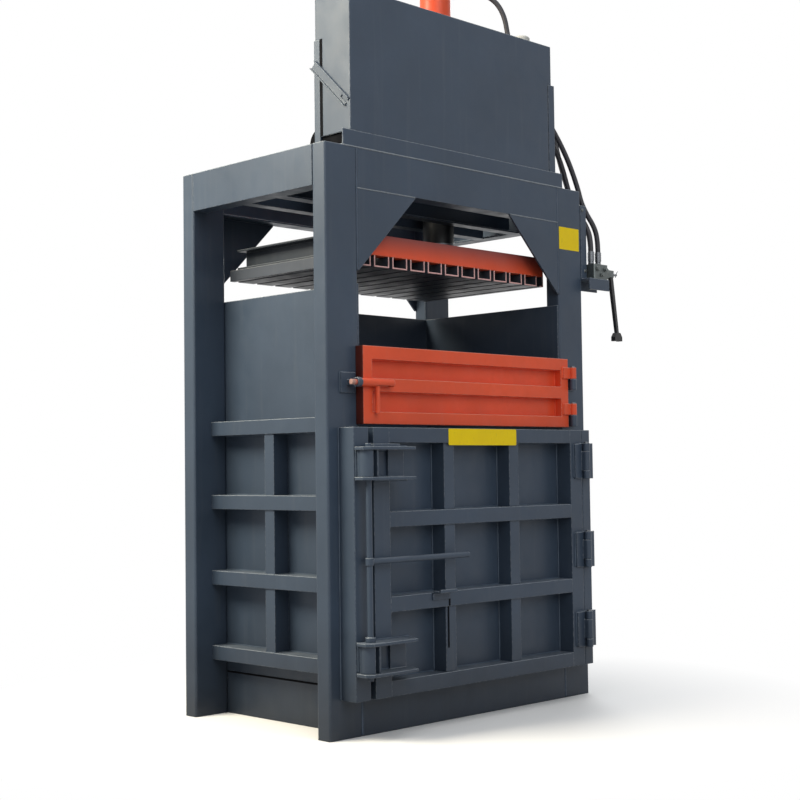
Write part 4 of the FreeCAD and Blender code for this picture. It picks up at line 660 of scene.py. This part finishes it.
def gate_welds():
    """Fillets of the gate's tube frame, the hinge leaves and the bolt's guide."""
    runs = []
    (left, face, _), (right, _, _) = box_of("gate_frame")
    low, high = box_of("gate_panel")
    sheet = low[1]
    for levels in ((low[2], GATE_MIDDLE_RAIL[0]), (GATE_MIDDLE_RAIL[1], high[2])):
        runs += level_beads((low[0], sheet), (high[0], sheet), levels, FINE_FILLET, FORWARD, True)
        for x, side in ((low[0], RIGHT), (high[0], LEFT)):
            runs.append(upright_bead(x, sheet, levels, FINE_FILLET, FORWARD, side))
    low, high = box_of("bolt_guide")
    runs += level_beads((left + 0.001, face), (high[0] - 0.001, face),
                        (low[2] + 0.005, high[2] - 0.005), FINE_FILLET, FORWARD)
    low, high = box_of("gate_hinge_knuckles")
    for levels in ((low[2], low[2] + GATE_HINGE_LEAF), (high[2] - GATE_HINGE_LEAF, high[2])):
        runs += level_beads((low[0] + 0.001, face), (right - 0.001, face), levels, FINE_FILLET,
                            FORWARD)
        runs.append(upright_bead(low[0], face, levels, FINE_FILLET, FORWARD, LEFT))
    joined("gate_welds", runs, weld_orange, "feed_gate")


frame_welds()
frame_seams()
door_welds()
gate_welds()


# ---------------------------------------------------------------- strips, flap and pin

def painted_shade_strips():
    """Near-black sheets as painted shade: in the gap beside the hood's upright, along the base and
    under the lever's rest.
    """
    side, top = box_of("hood_uprights")[0][0], box_of("hood_uprights")[1][2]
    foot, base = box_of("hood_cover")[0][2] + 0.002, box_of("base_beams")[1][2]
    strips = [bar((side - 0.0008, -0.3160, foot), (side + 0.0008, -0.3005, top))]
    for x in (-WALL_FACE, WALL_FACE):
        strips.append(bar((x - 0.0015, -RIB_REACH, base - 0.008), (x + 0.0015, RIB_REACH, base)))
    joined("shade_gap_strips", strips, black_rubber_and_shade_sheet, "frame", False)
    # painted shade: a dark line down the door's upright under the lever's rest
    shade_line = [bar((-0.236, -0.5815, 0.508), (-0.227, -0.5799, 0.538)),
            bar((-0.236, -0.5735, 0.328), (-0.227, -0.5719, 0.506))]
    joined("upright_shade_strip", shade_line, black_rubber_and_shade_sheet, "door", False)


def hood_flap_and_gap_shade():
    """A black rubber flap bulged out behind the hood's left upright, with a black sheet as painted
    shade in the gap under the hood's left side.

    the bulge's outline is y = -0.285 + 0.070 sin t, z = 2.4505 + 0.112 cos(t) ^ 0.6
    """
    left, right, corner, low = -0.686, -0.682, -0.285, 2.4505
    # painted shade: a black sheet filling the gap under the hood's left side
    gap_shade_sheet = bar((left, -0.470, low), (right, corner, 2.5215))
    t = np.linspace(0, np.pi / 2, 7)[::-1]
    bulge = np.stack([corner + 0.070 * np.sin(t), low + 0.112 * np.cos(t) ** 0.6], 1)
    outline = np.concatenate([[(corner, low)], bulge])
    rear = swept([(left, 0, 0), (right, 0, 0)], outline, BACK, UP)
    joined("hood_flap_and_gap_shade", [gap_shade_sheet, rear], black_rubber_and_shade_sheet, "frame", False)


def lever_pin():
    """The valve lever's pin with a split pin through its end, bent as x = 1.108 + 0.020 t^2."""
    pin = turned((1.068, -0.497, 2.058), RIGHT, [(0, 0.006), (0.046, 0.006), (0.048, 0.004)], 14)
    t = np.linspace(0, 1, 14)
    bent = np.stack([1.108 + 0.020 * t ** 2, np.full(14, -0.497), 2.046 + 0.032 * t], 1)
    ring = np.linspace(0, 2 * np.pi, 8, endpoint=False)
    outline = np.stack([np.cos(ring), np.sin(ring)], 1) * 0.0024
    split_pin = swept(bent, outline, RIGHT, BACK)
    joined("lever_pin", [pin, split_pin], finishes["steel"], "valve_lever")


painted_shade_strips()
hood_flap_and_gap_shade()
lever_pin()


# ---------------------------------------------------------------- bolts, nuts and rings

# Hexagon heads: the width across flats and the height.
M5, M8, M16, M20 = (0.008, 0.004), (0.013, 0.006), (0.024, 0.013), (0.030, 0.016)
CYLINDER_PLACES = (-0.34, 0.34)
PORT_HEIGHT = (box_of("cylinder_ports")[0][2] + box_of("cylinder_ports")[1][2]) / 2
PACK_HEIGHT, PACK_MIDDLE = 2.6, -0.310


def ring_of(centre, radius, count, turn=0.0):
    """Places on a level circle."""
    angles = turn + np.arange(count) * 2 * np.pi / count
    return [(centre[0] + radius * math.cos(a), centre[1] + radius * math.sin(a), centre[2])
            for a in angles]


def cylinder_bolts():
    """Flange and plate bolts on top, gland screws below, and the bolts of the rods' feet."""
    top, below, feet = [], [], []
    plates = box_of("cylinder_mount_plates")[1][2]
    flange = plates + 0.025
    gland = box_of("cylinder_glands")[0][2]
    foot = box_of("platen_frame")[1][2] + 0.020
    for x in CYLINDER_PLACES:
        for place in ring_of((x, 0, flange), 0.095, 8, math.pi / 8):
            top += hexagon_bolt(place, UP, *M16)
        for dx in (-0.122, 0.122):
            for dy in (-0.118, 0.118):
                top += hexagon_bolt((x + dx, dy, plates), UP, *M20)
        for place in ring_of((x, 0, gland), 0.061, 8):
            below.append(turned(place, DOWN, [(0, 0.0065), (0.0075, 0.0065), (0.0085, 0.0055),
                                              (0.0085, 0.0032), (0.004, 0.0032)], 10))
        for place in ring_of((x, 0, foot), 0.064, 6, math.pi / 6):
            feet += hexagon_bolt(place, UP, *M16)
    joined("cylinder_bolts", top, finishes["zinc"], "frame", False)
    joined("gland_screws", below, finishes["steel"], "frame", False)
    joined("rod_foot_bolts", feet, finishes["zinc"], "platen", False)


def power_pack_details():
    """Screws of the tank's lid, terminal box and pump, the fan cowl and the box's cable gland."""
    low, high = box_of("oil_tank")
    lid = high[2]
    places = [(x, y, lid) for x in np.linspace(low[0] + 0.022, high[0] - 0.022, 6)
              for y in (low[1] + 0.014, high[1] - 0.014)]
    places += [(x, y, lid) for y in np.linspace(low[1] + 0.075, high[1] - 0.075, 3)
               for x in (low[0] + 0.014, high[0] - 0.014)]
    screws = [form for place in places for form in hexagon_bolt(place, UP, *M8)]
    motor_low, motor_high = box_of("pump_motor")
    box_top, box_left, pump_end = motor_high[2], -0.546, -0.07
    for dx in (0.010, 0.078):
        for dy in (-0.034, 0.034):
            screws += hexagon_bolt((box_left + dx, PACK_MIDDLE + dy, box_top), UP, *M5)
    for dy in (-0.040, 0.040):
        for dz in (-0.040, 0.040):
            screws += hexagon_bolt((pump_end, PACK_MIDDLE + dy, PACK_HEIGHT + dz), RIGHT, M8[0],
                                   0.008)
    joined("power_pack_screws", screws, finishes["zinc"], "frame", False)
    cowl = [turned((motor_low[0], PACK_MIDDLE, PACK_HEIGHT), LEFT,
                   [(-0.040, 0.0925), (-0.038, 0.102), (-0.004, 0.102), (0.006, 0.094),
                    (0.009, 0.080), (0.009, 0.018), (0.0125, 0.012), (0.0125, 0.0)], 40)]
    for radius in (0.030, 0.042, 0.054, 0.066, 0.078):
        rib = [(0, radius - 0.0035), (0.0022, radius - 0.002), (0.0022, radius + 0.002),
               (0, radius + 0.0035)]
        cowl.append(turned((motor_low[0] - 0.0088, PACK_MIDDLE, PACK_HEIGHT), LEFT, rib, 40))
    joined("motor_fan_cowl", cowl, finishes["motor_paint"], "frame")
    gland = turned((box_left - 0.0001, PACK_MIDDLE, box_top - 0.032), LEFT,
                   [(0, 0.013), (0.006, 0.013), (0.0062, 0.010), (0.016, 0.010), (0.019, 0.0075),
                    (0.019, 0)], 6)
    joined("terminal_box_gland", [gland], finishes["black_plastic"], "frame",
           False)


def hose_rings():
    """The hexagon nuts under the hoses, the crimped rings of their ferrules and two pipe nuts."""
    port = np.array([math.cos(math.pi / 4), -math.sin(math.pi / 4), 0])
    valve_top = box_of("valve_body")[1][2]
    valve_ends = [((x, y, valve_top), UP, 0.016)
                  for x, y in ((0.911, -0.497), (0.939, -0.473), (0.967, -0.497))]
    far_ends = [((-0.130, PACK_MIDDLE, 2.652), UP, 0.0), ((0.560, -0.340, 2.905), RIGHT, 0.0),
                (np.array([CYLINDER_PLACES[1], 0, PORT_HEIGHT]) + port * 0.098, port, 0.0)]
    nut = [(0, 0.0140), (0.001, 0.0148), (0.0105, 0.0148), (0.0115, 0.0138)]
    crimp = [(0, 0.0149), (0.0008, 0.0162), (0.0044, 0.0162), (0.0052, 0.0149)]
    collars = []
    for place, along, neck in valve_ends + far_ends:
        place, along = np.asarray(place, float), np.asarray(along, float)
        if neck:
            collars.append(turned(place + along * 0.0025, along, nut, 6))
        for number in range(5):
            run = neck + 0.006 + number * 0.0085
            collars.append(turned(place + along * run, along, crimp, 20))
    for x, side in ((-0.242, RIGHT), (0.242, LEFT)):
        collars.append(turned((x, 0, PORT_HEIGHT), side,
                              [(0, 0.0195), (0.020, 0.0195), (0.023, 0.0165)], 6))
    joined("hose_ferrule_rings", collars, finishes["steel"], "frame")


def valve_details():
    """The plugs on the valve's front, the cap screws at its end and the bolts of its strip."""
    low, high = box_of("valve_body")
    front, end = low[1], 1.000
    _, middle, height = (low + high) / 2
    forms = []
    for x, z, radius in ((0.918, 2.070, 0.0105), (0.950, 2.042, 0.009), (0.978, 2.070, 0.009)):
        plug = [(0, radius * 1.25), (0.004, radius * 1.25), (0.0042, radius * 1.05),
                (0.011, radius * 1.05), (0.0125, radius * 0.85)]
        forms.append(turned((x, front, z), FORWARD, plug, 6))
    for angle in np.arange(1, 8, 2) * math.pi / 4:
        y, z = middle + 0.0285 * math.cos(angle), height + 0.0285 * math.sin(angle)
        forms.append(turned((end, y, z), RIGHT, [(0, 0.0055), (0.006, 0.0055), (0.0065, 0.0048),
                                                 (0.0065, 0.0028), (0.003, 0.0028)], 8))
    joined("valve_plugs_and_screws", forms, finishes["zinc"], "frame", False)
    bolts = []
    for x, z in ((0.857, 2.36), (0.875, 2.06)):
        bolts += hexagon_bolt((x, FRONT, z), FORWARD, M8[0], 0.007)
    joined("valve_strip_bolts", bolts, finishes["zinc"], "frame", False)


cylinder_bolts()
power_pack_details()
hose_rings()
valve_details()


# ---------------------------------------------------------------- room, light and camera

def seen_rays(nodes, links):
    """1 for the rays that show the room itself: camera, glossy and transmission rays."""
    rays = nodes.new("ShaderNodeLightPath").outputs
    seen = rays["Is Camera Ray"]
    for kind in ("Is Glossy Ray", "Is Transmission Ray"):
        most = nodes.new("ShaderNodeMath")
        most.operation = "MAXIMUM"
        links.new(seen, most.inputs[0])
        links.new(rays[kind], most.inputs[1])
        seen = most.outputs[0]
    return seen


def floor_finish():
    """A pale floor that turns to plain white for the camera away from the machine."""
    ground = Finish("studio_floor")
    ground.set(Roughness=0.9)
    glow = ground.nodes.new("ShaderNodeEmission")
    glow.inputs["Color"].default_value = (1, 1, 1, 1)
    length = ground.nodes.new("ShaderNodeVectorMath")
    length.operation = "LENGTH"
    ground.link(ground.coordinates, length.inputs[0])
    far = ground.span(length.outputs["Value"], 0.8, 2.1)
    seen = seen_rays(ground.nodes, ground.links)
    tone = ground.mix(seen, (0.34, 0.34, 0.34, 1.0), (0.93, 0.93, 0.93, 1.0))
    ground.link(tone, ground.shader.inputs["Base Color"])
    blend = ground.nodes.new("ShaderNodeMixShader")
    ground.link(ground.maths("MULTIPLY", far, seen), blend.inputs[0])
    ground.link(ground.shader.outputs[0], blend.inputs[1])
    ground.link(glow.outputs[0], blend.inputs[2])
    ground.link(blend.outputs[0], ground.nodes["Material Output"].inputs["Surface"])
    return ground.material


def build_floor():
    """A wide level sheet just under the machine."""
    half, level = 40.0, -0.001
    mesh = bpy.data.meshes.new("studio_floor")
    mesh.from_pydata([(-half, -half, level), (half, -half, level), (half, half, level),
                      (-half, half, level)], [], [(0, 1, 2, 3)])
    mesh.materials.append(floor_finish())
    floor = bpy.data.objects.new("studio_floor", mesh)
    bpy.context.scene.collection.objects.link(floor)


def build_world():
    """Soft even light that shows as white behind the machine."""
    world = bpy.data.worlds.new("studio")
    bpy.context.scene.world = world
    world.use_nodes = True
    nodes, links = world.node_tree.nodes, world.node_tree.links
    nodes.clear()
    blend = nodes.new("ShaderNodeMixShader")
    links.new(seen_rays(nodes, links), blend.inputs[0])
    for socket, colour, strength in ((blend.inputs[1], (0.94, 0.97, 1.0, 1), 0.2),
                                     (blend.inputs[2], (1, 1, 1, 1), 1.0)):
        light = nodes.new("ShaderNodeBackground")
        light.inputs["Color"].default_value = colour
        light.inputs["Strength"].default_value = strength
        links.new(light.outputs[0], socket)
    output = nodes.new("ShaderNodeOutputWorld")
    links.new(blend.outputs[0], output.inputs["Surface"])


def add_lamp(name, place, aim, size, power, tint):
    """A square soft lamp that looks from its place to its aim."""
    lamp = bpy.data.lights.new(name, "AREA")
    lamp.shape = "SQUARE"
    lamp.size = size
    lamp.energy = power
    lamp.color = tint
    holder = bpy.data.objects.new(name, lamp)
    holder.location = place
    holder.rotation_euler = (Vector(aim) - Vector(place)).to_track_quat("-Z", "Y").to_euler()
    bpy.context.scene.collection.objects.link(holder)


def build_camera():
    """The photograph's camera, fitted to the machine's own edges."""
    yaw, pitch, roll = math.radians(44.848), math.radians(2.654), math.radians(-0.721)
    place = (-4.79746, -4.88310, 1.10480)
    sensor_width, focal_pixels, picture_pixels = 36.0, 1450.16, 800
    ahead = Vector((math.sin(yaw) * math.cos(pitch), math.cos(yaw) * math.cos(pitch),
                    math.sin(pitch)))
    right = Vector((math.cos(yaw), -math.sin(yaw), 0))
    up = right.cross(ahead)
    right, up = (math.cos(roll) * right + math.sin(roll) * up,
                 math.cos(roll) * up - math.sin(roll) * right)
    data = bpy.data.cameras.new("camera")
    data.sensor_width = sensor_width
    data.lens = sensor_width * focal_pixels / picture_pixels
    data.clip_end = 200
    camera = bpy.data.objects.new("camera", data)
    turn = Matrix((right, up, -ahead)).transposed().to_4x4()
    camera.matrix_world = Matrix.Translation(place) @ turn
    bpy.context.scene.collection.objects.link(camera)
    bpy.context.scene.camera = camera


build_floor()
build_world()
add_lamp("left_lamp", (-3.6, 1.1, 4.3), (-0.8, 0, 3.1), 2.2, 385, (1.0, 0.92, 0.74))
add_lamp("front_lamp", (-2.6, -7.8, 5.6), (0, 0, 1.9), 6.0, 300, (0.96, 0.99, 1.0))
add_lamp("right_lamp", (5.2, 3.6, 4.2), (0, 0, 1.6), 3.0, 210, (0.97, 0.99, 1.0))
add_lamp("top_lamp", (-0.6, -1.5, 8.0), (0, 0, 1.0), 5.0, 160, (1.0, 1.0, 1.0))
build_camera()

scene = bpy.context.scene
scene.view_settings.view_transform = "Standard"
bpy.context.view_layer.update()
